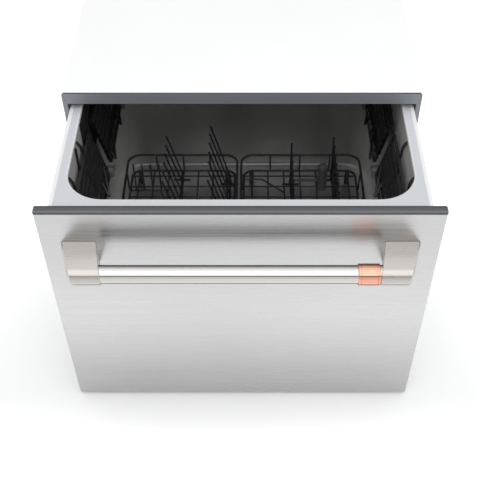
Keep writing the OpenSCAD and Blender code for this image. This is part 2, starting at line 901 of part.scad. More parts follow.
module tub_shell() {
    color("lightgray") in_drawer() difference() {
        union() {
            difference() {
                round_block([-shell_half, door_t], [shell_half, shell_back], shell_r, shell_low, shell_top);
                round_block([-shell_half + shell_t, door_t + shell_t],
                            [shell_half - shell_t, shell_back - shell_t],
                            shell_r - shell_t, shell_low - 1, shell_top + 1);
            }
            round_block([-shell_half + eps, door_t + eps], [shell_half - eps, shell_back - eps],
                        shell_r, floor_low - deck_t, floor_low);
            hose_clip(hose_x + hose_turn_r, hose_clip_y - clip_t,
                      hose_z - hose_r - 4, floor_low - deck_t + eps);
        }
        at_wash_axis() translate([0, 0, floor_low - deck_t - 1])
            cylinder(r = sump_r + sump_flange + 1, h = deck_t + 2);
        translate([hose_x - hose_turn_r - hose_cut_side, shell_back - 2 * shell_t, shell_low - 1])
            cube([2 * (hose_turn_r + hose_cut_side), 3 * shell_t, hose_cut_h]);
    }
}

module tub_insulation() {
    color("dimgray") in_drawer() difference() {
        round_block([-shell_half + shell_t + pad_gap, door_t + shell_t + pad_gap],
                    [shell_half - shell_t - pad_gap, shell_back - shell_t - pad_gap],
                    shell_r - shell_t, pad_low, pad_high);
        opening_block(rim_over + liner_t + pad_gap, floor_z, shell_top);
        dispenser_hole(1);
    }
}

// ---- Wash system ----

module sump() {
    color("dimgray") in_drawer() at_wash_axis() difference() {
        union() {
            translate([0, 0, sump_low]) cylinder(r = sump_r, h = sump_h - liner_t);
            translate([0, 0, floor_low - deck_t]) cylinder(r = sump_r + sump_flange, h = deck_t);
            translate([-sump_r + sump_t, 0, drain_stub_z]) rotate([0, -90, 0])
                cylinder(r = drain_stub_r, h = drain_stub_l);
        }
        translate([0, 0, sump_low + sump_t]) cylinder(r = sump_r - sump_t, h = sump_h);
        translate([0, 0, sump_low - 1]) cylinder(r = shaft_r + run_gap, h = sump_t + 2);
        translate([-sump_r + 2 * sump_t, 0, drain_stub_z]) rotate([0, -90, 0])
            cylinder(r = drain_stub_r - 2, h = 2 * drain_stub_l);
    }
}

module heater_ring() {
    color("gainsboro") in_drawer() at_wash_axis() difference() {
        translate([0, 0, sump_low - heater_h]) cylinder(r = heater_r, h = heater_h);
        translate([0, 0, sump_low - heater_h - 1]) cylinder(r = heater_r - heater_w, h = heater_h + 2);
    }
}

module motor_housing() {
    color("darkslategray") in_drawer() at_wash_axis() {
        difference() {
            translate([0, 0, motor_low]) cylinder(r = motor_r, h = housing_top - motor_low);
            translate([0, 0, rotor_low - 1]) cylinder(r = rotor_r + stator_gap, h = housing_top);
            translate([0, 0, motor_low - 1]) cylinder(r = shaft_r + run_gap, h = 20);
        }
        for (a = [45:90:315]) rotate([0, 0, a]) translate([motor_r - post_inset, 0, housing_top - eps])
            cylinder(r = motor_post_r, h = sump_low - housing_top + eps);
    }
}

module motor_rotor() {
    color("silver") in_drawer() at_wash_axis() {
        translate([0, 0, motor_low + 1]) cylinder(r = shaft_r, h = shaft_top - motor_low - 1);
        translate([0, 0, rotor_low]) cylinder(r = rotor_r, h = rotor_top - rotor_low);
    }
}

module pump_wheel() {
    color("white") in_drawer() at_wash_axis() translate([0, 0, wheel_low]) difference() {
        union() {
            cylinder(r = wheel_r, h = 2);
            cylinder(r = shaft_r + 4, h = wheel_h);
            for (a = [0:60:300]) rotate([0, 0, a]) translate([shaft_r + 2, -1, 0])
                cube([wheel_r - shaft_r - 4, 2, wheel_h - 1]);
        }
        translate([0, 0, -1]) cylinder(r = shaft_r, h = shaft_top - wheel_low + 1);
    }
}

module pump_cover() {
    cover_low = sump_low + sump_t;
    color("gray") in_drawer() at_wash_axis() difference() {
        union() {
            translate([0, 0, cover_low]) cylinder(r = cover_r, h = cover_h);
            translate([0, 0, cover_low + cover_h - eps])
                cylinder(r = spigot_r, h = spigot_top - cover_low - cover_h);
        }
        translate([0, 0, cover_low - 1]) cylinder(r = cover_r - cover_t, h = cover_h - cover_t + 1);
        translate([0, 0, cover_low]) cylinder(r = spigot_r - spigot_wall, h = sump_h + 20);
        for (a = [0:90:270]) rotate([0, 0, a]) translate([cover_r - 6, -cover_slot.y / 2, cover_low - 1])
            cube(cover_slot);
    }
}

module filter_plate() {
    color("gray") in_drawer() difference() {
        at_wash_axis() translate([0, 0, floor_z]) cylinder(r = plate_r, h = plate_t);
        at_wash_axis() translate([0, 0, floor_z - 1]) cylinder(r = spigot_r + 3, h = plate_t + 2);
        translate([filter_x, filter_y, floor_z - 1]) cylinder(r = filter_r + 0.5, h = plate_t + 2);
    }
}

module drain_filter() {
    rim = 2;
    color("lightgray") in_drawer() translate([filter_x, filter_y, 0]) {
        difference() {
            union() {
                translate([0, 0, filter_low]) cylinder(r = filter_r, h = floor_z + plate_t - filter_low);
                translate([0, 0, floor_z + plate_t + 0.1 - eps]) cylinder(r = filter_r + 3, h = 1.5);
                translate([0, 0, floor_z]) cylinder(r = filter_r, h = plate_t + 0.5);
            }
            translate([0, 0, filter_low + rim]) cylinder(r = filter_r - rim, h = floor_z);
        }
        translate([-filter_r + rim / 2, -2, floor_z - 12]) cube([2 * filter_r - rim, 4, 14]);
    }
}

module spray_arm() {
    hub_low = floor_z + plate_t + 2;
    nozzles = 5;
    tip = 9;
    color("lightgray") in_drawer() at_wash_axis() difference() {
        union() {
            translate([0, 0, hub_low]) cylinder(r = hub_r, h = arm_low + arm_h + 3 - hub_low);
            for (a = [0, 180]) rotate([0, 0, a]) hull() {
                translate([0, 0, arm_low]) cylinder(r = hub_r - 4, h = arm_h, $fn = 32);
                translate([arm_r - tip, 0, arm_low]) cylinder(r = tip, h = arm_h, $fn = 32);
            }
        }
        translate([0, 0, floor_z]) cylinder(r = spigot_r + run_gap, h = spigot_top + 0.5 - floor_z);
        for (a = [0, 180], i = [1:nozzles]) rotate([0, 0, a])
            translate([hub_r + i * (arm_r - hub_r - tip) / nozzles, 0, arm_low + arm_h - 2])
                cylinder(r = 1.5, h = 5);
    }
}

// ---- Racks ----

module rack(x0, x1, rows) {
    inset = rail_d;
    gx = [x0 + inset, x1 - inset];
    gy = [rack_front + inset, rack_back - inset];
    color("darkslategray") in_drawer() {
        wire_loop(x0, rack_front, x1, rack_back, rail_z, rail_r, rail_wire);
        wire_loop(gx[0], gy[0], gx[1], gy[1], base_z, rail_r - inset, rail_wire);
        for (x = spread(gx[0] + rail_r, gx[1] - rail_r, 2 * grid_pitch),
             y = [rack_front + inset / 2, rack_back - inset / 2])
            wire([x, y, base_z - 1], [x, y, rail_z + 1], grid_wire);
        for (y = spread(gy[0] + rail_r, gy[1] - rail_r, 2 * grid_pitch),
             x = [x0 + inset / 2, x1 - inset / 2])
            wire([x, y, base_z - 1], [x, y, rail_z + 1], grid_wire);
        for (x = spread(gx[0], gx[1], grid_pitch))
            wire([x, gy[0], base_z + 0.6], [x, gy[1], base_z + 0.6], grid_wire);
        for (y = spread(gy[0], gy[1], grid_pitch))
            wire([gx[0], y, base_z - 1.4], [gx[1], y, base_z - 1.4], grid_wire);
        for (x = [gx[0] + 16, gx[1] - 16], y = [gy[0] + 4, gy[1] - 4])
            translate([x, y, floor_z]) cylinder(r = rack_foot_r, h = base_up + 1);
        for (row = rows) tine_clips(row);
        children();
    }
}

// Clips that hold a tine row's pivot wire, between its tines
module tine_clips(row) {
    ys = tine_places(row);
    for (y = [ys[0] + tine_pitch / 2, ys[len(ys) - 1] - tine_pitch / 2]) difference() {
        union() {
            box([row[0] - clip_w / 2, y - clip_l / 2, base_z - 1],
                [row[0] + clip_w / 2, y + clip_l / 2, pivot_z + clip_w / 2]);
            box([row[0] - grid_pitch / 2, y - clip_l / 2, base_z - 1],
                [row[0] + grid_pitch / 2, y + clip_l / 2, base_z + 1]);
        }
        translate([row[0], y - clip_l, pivot_z]) rotate([-90, 0, 0])
            cylinder(r = pivot_r + run_gap, h = 2 * clip_l);
    }
}

function tine_places(row) = [for (y = [row[1]:tine_pitch:row_back - 4]) y];

// The left rack also has a short fixed row of guard tines across its outer side
module rack_left() {
    first = rack_left_out + 3.5 * rail_d;
    guard_y = still_y - tine_pitch / 4;
    rack(rack_left_out, rack_left_in, [row_left_inner, row_left_outer]) {
        wire([rack_left_out + rail_d, guard_y, base_z + 1],
             [first + guards * guard_pitch, guard_y, base_z + 1], grid_wire);
        for (i = [0:guards - 1]) translate([first + i * guard_pitch, guard_y, base_z]) {
            cylinder(r = tine_r, h = guard_h);
            translate([0, 0, guard_h]) sphere(r = tip_r);
        }
    }
}

// The right rack also has a bent wire that steadies bowls
module rack_right() {
    bend_x = rack_right_in + 42;
    low_x = row_right_inner[0] - 12;
    bowl_y = still_y - tine_pitch / 2;
    rack(rack_right_in, rack_right_out, [row_right_inner, row_right_outer]) {
        wire([rack_right_in, bowl_y, rail_z - 1], [bend_x, bowl_y, rail_z - 1], grid_wire);
        slant_wire([bend_x - 0.5, bowl_y, rail_z - 0.8], [low_x, bowl_y, base_z], grid_wire - 0.1);
    }
}

// Upright post with a side arm, pushed on the right rack's grid
module glass_post() {
    post_low = base_z + 0.6 + grid_wire;
    color("gray") in_drawer() {
        translate([post_x, still_y, post_low]) cylinder(r = post_r, h = post_h);
        translate([post_x, still_y, post_low + post_h - 3]) sphere(r = post_r - 0.5);
        wire([row_right_inner[0] + 5, still_y, base_z + post_arm_up],
             [post_x, still_y, base_z + post_arm_up], post_arm_r);
    }
}

module tine_row(row) {
    ys = tine_places(row);
    last = ys[len(ys) - 1];
    color("darkslategray") in_drawer() {
        wire([row[0], row[1] - 6, pivot_z], [row[0], last + 6, pivot_z], pivot_r);
        for (y = ys) translate([row[0], y, pivot_z]) rotate([0, -row[3], 0]) {
            cylinder(r = tine_r, h = row[2]);
            translate([0, 0, row[2]]) sphere(r = tip_r);
        }
    }
}

module tines_left_inner() { tine_row(row_left_inner); }
module tines_left_outer() { tine_row(row_left_outer); }
module tines_right_inner() { tine_row(row_right_inner); }
module tines_right_outer() { tine_row(row_right_outer); }

// ---- Cup racks ----

// Hinge carriers on both side walls, one block at each end of each cup rack
module cup_hinges() {
    color("dimgray") in_drawer() intersection() {
        both_sides() cup_hinge_blocks();
        opening_block(rim_over, cup_hinge_z - hinge_block, cup_hinge_z + hinge_block);
    }
}

module cup_hinge_blocks() {
    for (y = [cup_front_y, cup_rear_y], end = [0, 1]) translate([0, y + end * cup_len, 0]) difference() {
        box([cup_hinge_x - hinge_block / 2, end * -hinge_arm, cup_hinge_z - hinge_block / 2],
            [liner_half, (1 - end) * hinge_arm, cup_hinge_z + hinge_block / 2]);
        translate([cup_hinge_x, -hinge_arm - 1, cup_hinge_z]) rotate([-90, 0, 0])
            cylinder(r = cup_pin_r + run_gap, h = 2 * hinge_arm + 2);
    }
}

// A cup rack on the right wall: slats, hinge rod and two standing cup bars
module cup_rack(y) {
    slat_pitch = (cup_depth - slat_t) / slats;
    side = hinge_arm + 2;
    inner_len = cup_len - 2 * side;
    color("dimgray") in_drawer() translate([cup_hinge_x, y, cup_hinge_z]) {
        wire([0, 1, 0], [0, cup_len - 1, 0], cup_pin_r);
        rotate([0, cup_lean, 0]) {
            for (i = [0:slats]) translate([-slat_t / 2, side, i * slat_pitch - slat_t / 2])
                cube([slat_t, inner_len, slat_t + 3]);
            for (v = [side, (cup_len - cup_post_w) / 2, cup_len - side - cup_post_w])
                translate([-slat_t / 2, v, -slat_t / 2]) cube([slat_t - 1, cup_post_w, cup_depth]);
            for (v = [side + 10, cup_len / 2 + 8]) translate([0, v, 0]) cup_bar(cup_len / 2 - side - 18);
        }
    }
}

// Bent wire that keeps glasses apart, standing off the slats
module cup_bar(l) {
    z = cup_bar_in + cup_bar_r;
    for (v = [0, l]) wire([-cup_bar_off, v, z], [0, v, z], cup_bar_r);
    wire([-cup_bar_off, -cup_bar_r - 0.8, z], [-cup_bar_off, l + cup_bar_r + 0.8, z], cup_bar_r + 0.3);
}

module cup_rack_right_front() { cup_rack(cup_front_y); }
module cup_rack_right_rear() { cup_rack(cup_rear_y); }
module cup_rack_left_front() { scale_x(left) cup_rack(cup_front_y); }
module cup_rack_left_rear() { scale_x(left) cup_rack(cup_rear_y); }

// ---- Cutlery basket ----

module cutlery_basket() {
    cell = (basket_l - 3 * basket_t) / 2;
    color("dimgray") in_drawer() translate([basket_x, basket_y, basket_z]) difference() {
        cube([basket_w, basket_l, basket_h]);
        for (j = [0, 1]) translate([basket_t, basket_t + j * (cell + basket_t), basket_t])
            cube([basket_w - 2 * basket_t, cell, basket_h]);
        for (i = [0:basket_slots - 1], z = [14, 62])
            translate([basket_w * (i + 0.5) / basket_slots - 3, -1, z]) cube([6, basket_l + 2, 34]);
    }
}

// ---- Dispenser ----

module at_flap_hinge(x) {
    translate([x, disp_face + flap_barrel_r + 0.5, flap_z]) rotate([0, 90, 0]) children();
}

module dispenser_body() {
    color("lightgray") in_drawer() difference() {
        union() {
            box([-disp_w / 2, disp_y, disp_z - disp_h / 2], [disp_w / 2, liner_front, disp_z + disp_h / 2]);
            box([-disp_w / 2 - disp_frame, liner_front, disp_z - disp_h / 2 - disp_frame],
                [disp_w / 2 + disp_frame, disp_face, disp_z + disp_h / 2 + disp_frame]);
            for (x = [flap_x - flap / 2 - lug_t, flap_x + flap / 2])
                box([x, disp_face - eps, flap_z - 3],
                    [x + lug_t, disp_face + 2 * flap_barrel_r + 1, flap_z + 3]);
        }
        box([flap_x - flap / 2 + 5, disp_face - well, flap_z + 6],
            [flap_x + flap / 2 - 5, disp_face + 1, flap_z + flap - 3]);
        at_flap_hinge(flap_x - flap / 2 - lug_t - 1)
            cylinder(r = flap_pin_r + run_gap, h = flap + 2 * lug_t + 2);
        translate([cap_x, disp_face - 8, disp_z]) rotate([-90, 0, 0])
            cylinder(r = cap_neck_r + run_gap, h = 20);
    }
}

module dispenser_flap() {
    side = 0.5;
    color("gray") in_drawer() {
        box([flap_x - flap / 2 + side, disp_face + 0.5, flap_z + 1],
            [flap_x + flap / 2 - side, disp_face + 0.5 + flap_t, flap_z + flap - 2]);
        at_flap_hinge(flap_x - flap / 2 + side) cylinder(r = flap_barrel_r, h = flap - 2 * side);
        at_flap_hinge(flap_x - flap / 2 - lug_t + side)
            cylinder(r = flap_pin_r, h = flap + 2 * lug_t - 2 * side);
    }
}

module rinse_cap() {
    color("steelblue") in_drawer() translate([cap_x, disp_face, disp_z]) rotate([-90, 0, 0]) {
        translate([0, 0, 0.3]) cylinder(r = cap_r, h = 3);
        translate([0, 0, -7]) cylinder(r = cap_neck_r, h = 8);
        translate([-cap_r + 3, -1.5, 3]) cube([2 * cap_r - 6, 3, 4]);
    }
}

chassis_wrap();
chassis_base();
chassis_back();
chassis_screws();
surround_top();
surround_left();
surround_right();
runner_left_outer();
runner_right_outer();
runner_middles();
runner_left_inner();
runner_right_inner();
lid_motors();
lid_guides();
lid_panel();
lid_seal();
lid_yokes();
lid_rods();
water_valve();
drain_spigot();
mains_inlet();
control_box();
link_hose();
door_skin();
door_core();
door_cap();
handle_bar();
handle_bracket_left();
handle_bracket_right();
handle_ring();
handle_screws();
tub_rim();
tub_liner();
tub_shell();
tub_insulation();
sump();
pump_cover();
heater_ring();
motor_housing();
motor_rotor();
pump_wheel();
filter_plate();
drain_filter();
spray_arm();
rack_left();
rack_right();
tines_left_inner();
tines_left_outer();
tines_right_inner();
tines_right_outer();
cup_hinges();
cup_rack_left_front();
cup_rack_left_rear();
cup_rack_right_front();
cup_rack_right_rear();
glass_post();
cutlery_basket();
dispenser_body();
dispenser_flap();
rinse_cap();
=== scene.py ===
# A tall dishwasher drawer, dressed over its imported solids.
# Lengths are in millimetres and y is measured behind the door's face, unless a note says otherwise.
import math
import bmesh
import bpy
from mathutils import Matrix, Vector


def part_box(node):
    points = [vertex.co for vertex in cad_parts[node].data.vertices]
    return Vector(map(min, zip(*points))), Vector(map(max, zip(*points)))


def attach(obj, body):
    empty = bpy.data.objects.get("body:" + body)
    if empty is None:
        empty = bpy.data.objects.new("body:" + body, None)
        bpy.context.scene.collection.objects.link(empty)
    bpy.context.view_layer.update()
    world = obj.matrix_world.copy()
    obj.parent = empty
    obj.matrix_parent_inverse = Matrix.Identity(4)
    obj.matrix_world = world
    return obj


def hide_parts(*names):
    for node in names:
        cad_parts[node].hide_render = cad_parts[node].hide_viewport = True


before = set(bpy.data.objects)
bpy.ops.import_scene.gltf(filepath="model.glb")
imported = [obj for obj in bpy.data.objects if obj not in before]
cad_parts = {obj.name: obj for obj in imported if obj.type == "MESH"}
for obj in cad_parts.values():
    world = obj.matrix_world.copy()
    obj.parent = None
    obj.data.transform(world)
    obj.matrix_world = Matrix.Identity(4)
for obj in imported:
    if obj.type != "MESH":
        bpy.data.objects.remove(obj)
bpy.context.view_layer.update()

mm = 0.001
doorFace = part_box("door_skin")[0].y
room = bpy.context.scene.collection
print("frame loaded:", len(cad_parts), "nodes")


# ---- camera, floor and light ----

cameraLook = {"place": (0.0163, -1.4065, 1.3401), "tilt": 42.26, "lens": 61.1, "shift": -0.0235}
camera = bpy.data.objects.new("camera", bpy.data.cameras.new("camera"))
camera.location = cameraLook["place"]
camera.rotation_euler = (math.radians(cameraLook["tilt"]), 0, 0)
camera.data.lens = cameraLook["lens"]
camera.data.sensor_width = 36
camera.data.shift_x = cameraLook["shift"]
room.objects.link(camera)
bpy.context.scene.camera = camera
bpy.context.scene.view_settings.view_transform = "Standard"

lightLook = {   # places and sizes in metres
    "sky": (0.64, 0.65, 0.66), "horizon": (0.92, 0.90, 0.88), "gap": (0.22, 0.22, 0.22),
    "gapHeights": (0.33, 0.36, 0.52, 0.56),   # where the gap between horizon and sky starts and ends
    "overhead": {"place": (0.45, -2.2, 2.7), "size": (4.6, 3.7), "power": 58},
    "behind": {"place": (0, 0.55, 2.7), "size": (4.6, 1.8), "power": 17},
}
floorLook = {
    "dark": (0.88, 0.88, 0.88), "light": (0.95, 0.95, 0.95), "cloud": 1.3, "reach": 6.0, "under": 0.0004,
    "glow": [(-1.3, 0.14), (-0.88, 0.2), (-0.79, 0.46), (-0.72, 0.5), (-0.66, 0.32), (-0.6, 0.16),
             (-0.56, 0.08), (0.2, 0.4), (0.9, 0.8)],   # y in metres and how much painted light the floor gives off there, glowing though it is no lamp
}


# ---- a network of nodes written as Python ----

class Signal:  # what comes out of a node, ready for sums
    def __init__(self, network, socket):
        self.network, self.socket = network, socket

    def maths(self, operation, first, second=0.0):
        return self.network.node("ShaderNodeMath", {"operation": operation}, {0: first, 1: second})

    def __add__(self, other):
        return self.maths("ADD", self, other)

    def __sub__(self, other):
        return self.maths("SUBTRACT", self, other)

    def __rsub__(self, other):
        return self.maths("SUBTRACT", other, self)

    def __mul__(self, other):
        return self.maths("MULTIPLY", self, other)

    def __truediv__(self, other):
        return self.maths("DIVIDE", self, other)

    def __gt__(self, other):
        return self.maths("GREATER_THAN", self, other)

    def __abs__(self):
        return self.maths("ABSOLUTE", self)

    def sine(self):
        return self.maths("SINE", self)


class Network:
    def __init__(self, tree):
        self.tree = tree

    def node(self, kind, settings=None, sockets=None, output=0):
        made = self.tree.nodes.new(kind)
        for key, value in (settings or {}).items():
            if key == "stops":
                elements = made.color_ramp.elements
                elements.remove(elements[1])
                elements[0].position, elements[0].color = value[0]
                for position, colour in value[1:]:
                    elements.new(position).color = colour
            else:
                setattr(made, key, value)
        for key, value in (sockets or {}).items():
            self.feed(made.inputs[key], value)
        return Signal(self, made.outputs[output])

    def feed(self, socket, value):
        if isinstance(value, Signal):
            self.tree.links.new(value.socket, socket)
        elif isinstance(value, list):
            for each in value:
                self.feed(socket, each)
        else:
            socket.default_value = value


class Finish(Network):  # one material
    def __init__(self, name, sockets):
        self.material = bpy.data.materials.new(name)
        self.material.use_nodes = True
        super().__init__(self.material.node_tree)
        self.shader = self.tree.nodes["Principled BSDF"]
        for key, value in sockets.items():
            self.shader.inputs[key].default_value = value
        self.place = self.node("ShaderNodeTexCoord", output="Object")

    def stretched(self, x, y, z):
        return self.node("ShaderNodeVectorMath", {"operation": "MULTIPLY"}, {0: self.place, 1: (x, y, z)})

    def noise(self, scale, detail=2.0, place=None):
        return self.node("ShaderNodeTexNoise", None,
                         {"Vector": place or self.place, "Scale": scale, "Detail": detail})

    def mix(self, share, first, second):
        return self.node("ShaderNodeMix", {"data_type": "RGBA"}, {0: share, 6: first, 7: second}, output=2)

    def tones(self, share, look):
        return self.mix(share, (*look["dark"], 1), (*look["light"], 1))

    def dull(self, share, look):
        least, most = look["rough"]
        return share * (most - least) + least

    def along(self, axis):
        return self.node("ShaderNodeSeparateXYZ", None, {0: self.place}, output=axis)

    def rise(self, value, start, end):   # 0 at start, 1 at end
        return self.node("ShaderNodeMapRange", None, {"Value": value, "From Min": start, "From Max": end})

    def dent(self, height, look):
        return self.node("ShaderNodeBump", None, {"Height": height, "Distance": look["depth"] * mm, "Strength": 1.0})

    def show(self, **links):
        for key, value in links.items():
            self.feed(self.shader.inputs[key.replace("_", " ")], value)
        return self.material


# ---- stage ----

def layFloor():
    reach, z = floorLook["reach"], -floorLook["under"]
    mesh = bpy.data.meshes.new("floor")
    mesh.from_pydata([(-reach, -reach, z), (reach, -reach, z), (reach, reach, z), (-reach, reach, z)], [],
                     [(0, 1, 2, 3)])
    floor = bpy.data.objects.new("floor", mesh)
    room.objects.link(floor)
    pale = Finish("pale_floor", {"Roughness": 0.8, "Emission Strength": 1.0})
    colour = pale.tones(pale.noise(floorLook["cloud"], 1.0), floorLook)
    near, far = floorLook["glow"][0][0], floorLook["glow"][-1][0]
    stops = [((y - near) / (far - near), (v, v, v, 1)) for y, v in floorLook["glow"]]
    # painted light: the floor glows by y, to lighten its shadows and shape what the door reflects
    glow = pale.node("ShaderNodeValToRGB", {"stops": stops}, {0: pale.rise(pale.along(1), near, far)})
    mesh.materials.append(pale.show(Base_Color=colour, Emission_Color=glow))


def hangLight(name, look):
    data = bpy.data.lights.new(name, "AREA")
    data.shape = "RECTANGLE"
    data.size, data.size_y = look["size"]
    data.energy = look["power"]
    lamp = bpy.data.objects.new(name, data)
    lamp.location = look["place"]
    room.objects.link(lamp)


def paintSky():
    world = bpy.data.worlds.new("soft_room")
    world.use_nodes = True
    bpy.context.scene.world = world
    sky = Network(world.node_tree)
    direction = sky.node("ShaderNodeTexCoord", output="Generated")
    height = sky.node("ShaderNodeSeparateXYZ", None, {0: direction}, output=2)
    low, gap, high = [(*lightLook[k], 1) for k in ("horizon", "gap", "sky")]
    stops = list(zip((0.0, *lightLook["gapHeights"]), (low, low, gap, gap, high)))
    colour = sky.node("ShaderNodeValToRGB", {"stops": stops}, {0: height})
    sky.feed(world.node_tree.nodes["Background"].inputs["Color"], colour)


layFloor()
paintSky()
for lampName in ("overhead", "behind"):
    hangLight(lampName, lightLook[lampName])
print("stage set")


# ---- finishes ----

grainLook = {"streaks": 0.6, "patches": 5.0, "clouds": 9.0, "cloudShare": 0.7, "fine": 1400.0, "hole": 0.42}


def brushed(metal, look):   # streaks, and the colour that they and wide patches give
    streaks, patches = metal.noise(1.0, 3.0, metal.stretched(*look["grain"])), metal.noise(grainLook["patches"])
    share = grainLook["streaks"]
    return streaks, metal.tones(streaks * share + patches * (1 - share), look)


def moulded(plastic, look):   # fine grain, clouds, and the colour that they give
    grain, clouds = plastic.noise(look.get("grain", grainLook["fine"])), plastic.noise(grainLook["clouds"], 3.0)
    share = grainLook["cloudShare"]
    return grain, clouds, plastic.tones(clouds * share + grain * (1 - share), look)


def brushedFinish(name, look):
    metal = Finish(name, {"Metallic": look.get("metallic", 1.0)})
    streaks, colour = brushed(metal, look)
    for key, axis, base in (("shade", 1, doorFace), ("top", 2, 0.0)):   # painted shade: a band darker than the rest, standing in for dark reflections, behind the part (shade) or beyond a height (top)
        if key in look:
            start, end, least = look[key]
            share = metal.rise(metal.along(axis), base + start, base + end)
            colour = metal.mix(share, colour, (*(v * least for v in look["dark"]), 1))
    if "fade" in look:   # painted shade: darker towards the foot, standing in for the dimmer floor reflected there
        start, end, least = look["fade"]
        share = metal.rise(metal.along(2), start, end)
        colour = metal.node("ShaderNodeVectorMath", {"operation": "SCALE"}, {
            0: colour, "Scale": 1 - share * (1 - least)})
    links = {"Base Color": colour, "Roughness": metal.dull(streaks, look), "Normal": metal.dent(streaks, look)}
    if "holes" in look:   # staggered round holes
        across, back = [(metal.along(axis) * (math.pi / (look["holes"] * mm))).sine() for axis in (0, 1)]
        links["Alpha"] = 1 - (across * back > grainLook["hole"])
    return metal.show(**links)


def mouldedFinish(name, look):
    plastic = Finish(name, {"Metallic": look.get("metallic", 0.0)})
    grain, clouds, colour = moulded(plastic, look)
    return plastic.show(Base_Color=colour, Roughness=plastic.dull(clouds, look), Normal=plastic.dent(grain, look))


def rimFinish(name, look):   # painted highlight: the turned-down edges and the roundings are painted paler than the flat, as if lit
    plastic = Finish(name, {})
    grain, clouds, colour = moulded(plastic, look)
    start, top = look["edgeFrom"] * mm, look["top"]
    edge = plastic.rise(abs(plastic.along(0)), start, start + look["blend"] * mm)
    worn = plastic.rise(plastic.along(2), top - look["wear"][0] * mm, top - look["wear"][1] * mm)
    colour = plastic.mix(edge.maths("MAXIMUM", edge, worn * look["worn"]), colour, (*look["edge"], 1))
    return plastic.show(Base_Color=colour, Roughness=plastic.dull(clouds, look), Normal=plastic.dent(grain, look))


def satinFinish(name, look):   # brushed, with duller walls at the sides that are painted paler as painted light, and paler still towards the floor
    metal = Finish(name, {})
    streaks, colour = brushed(metal, look)
    wall = metal.rise(abs(metal.along(0)), *look["wall"])
    pale = metal.mix(metal.rise(metal.along(2), *look["low"]), (*look["pale"], 1), (*look["paleLow"], 1))
    return metal.show(Base_Color=metal.mix(wall, colour, pale),
                      Roughness=metal.dull(streaks, look) * (1 - wall) + wall * look["wallRough"],
                      Metallic=1 - wall * (1 - look["wallMetal"]), Normal=metal.dent(streaks, look))


def galvanisedFinish(name, look):
    sheet = Finish(name, {"Metallic": 1.0})
    spangle = sheet.node("ShaderNodeTexVoronoi", None, {"Vector": sheet.place, "Scale": look["spangle"]},
                         output="Color")
    shade = sheet.node("ShaderNodeSeparateXYZ", None, {0: spangle}, output=0)
    return sheet.show(Base_Color=sheet.tones(shade, look), Roughness=sheet.dull(shade, look),
                      Normal=sheet.dent(sheet.noise(look["grain"]), look))


def feltFinish(name, look):
    felt = Finish(name, {"Sheen Weight": look["sheen"]})
    fibres, clumps = felt.noise(look["fibres"], 6.0), felt.noise(look["clumps"], 4.0)
    return felt.show(Base_Color=felt.tones(fibres * 0.5 + clumps * 0.5, look), Roughness=felt.dull(fibres, look),
                     Normal=felt.dent(fibres + clumps, look))


def tone(dark, light, rough, depth, **more):   # darkest and lightest colour, roughness, depth of the grain
    return {"dark": dark, "light": light, "rough": rough, "depth": depth, **more}


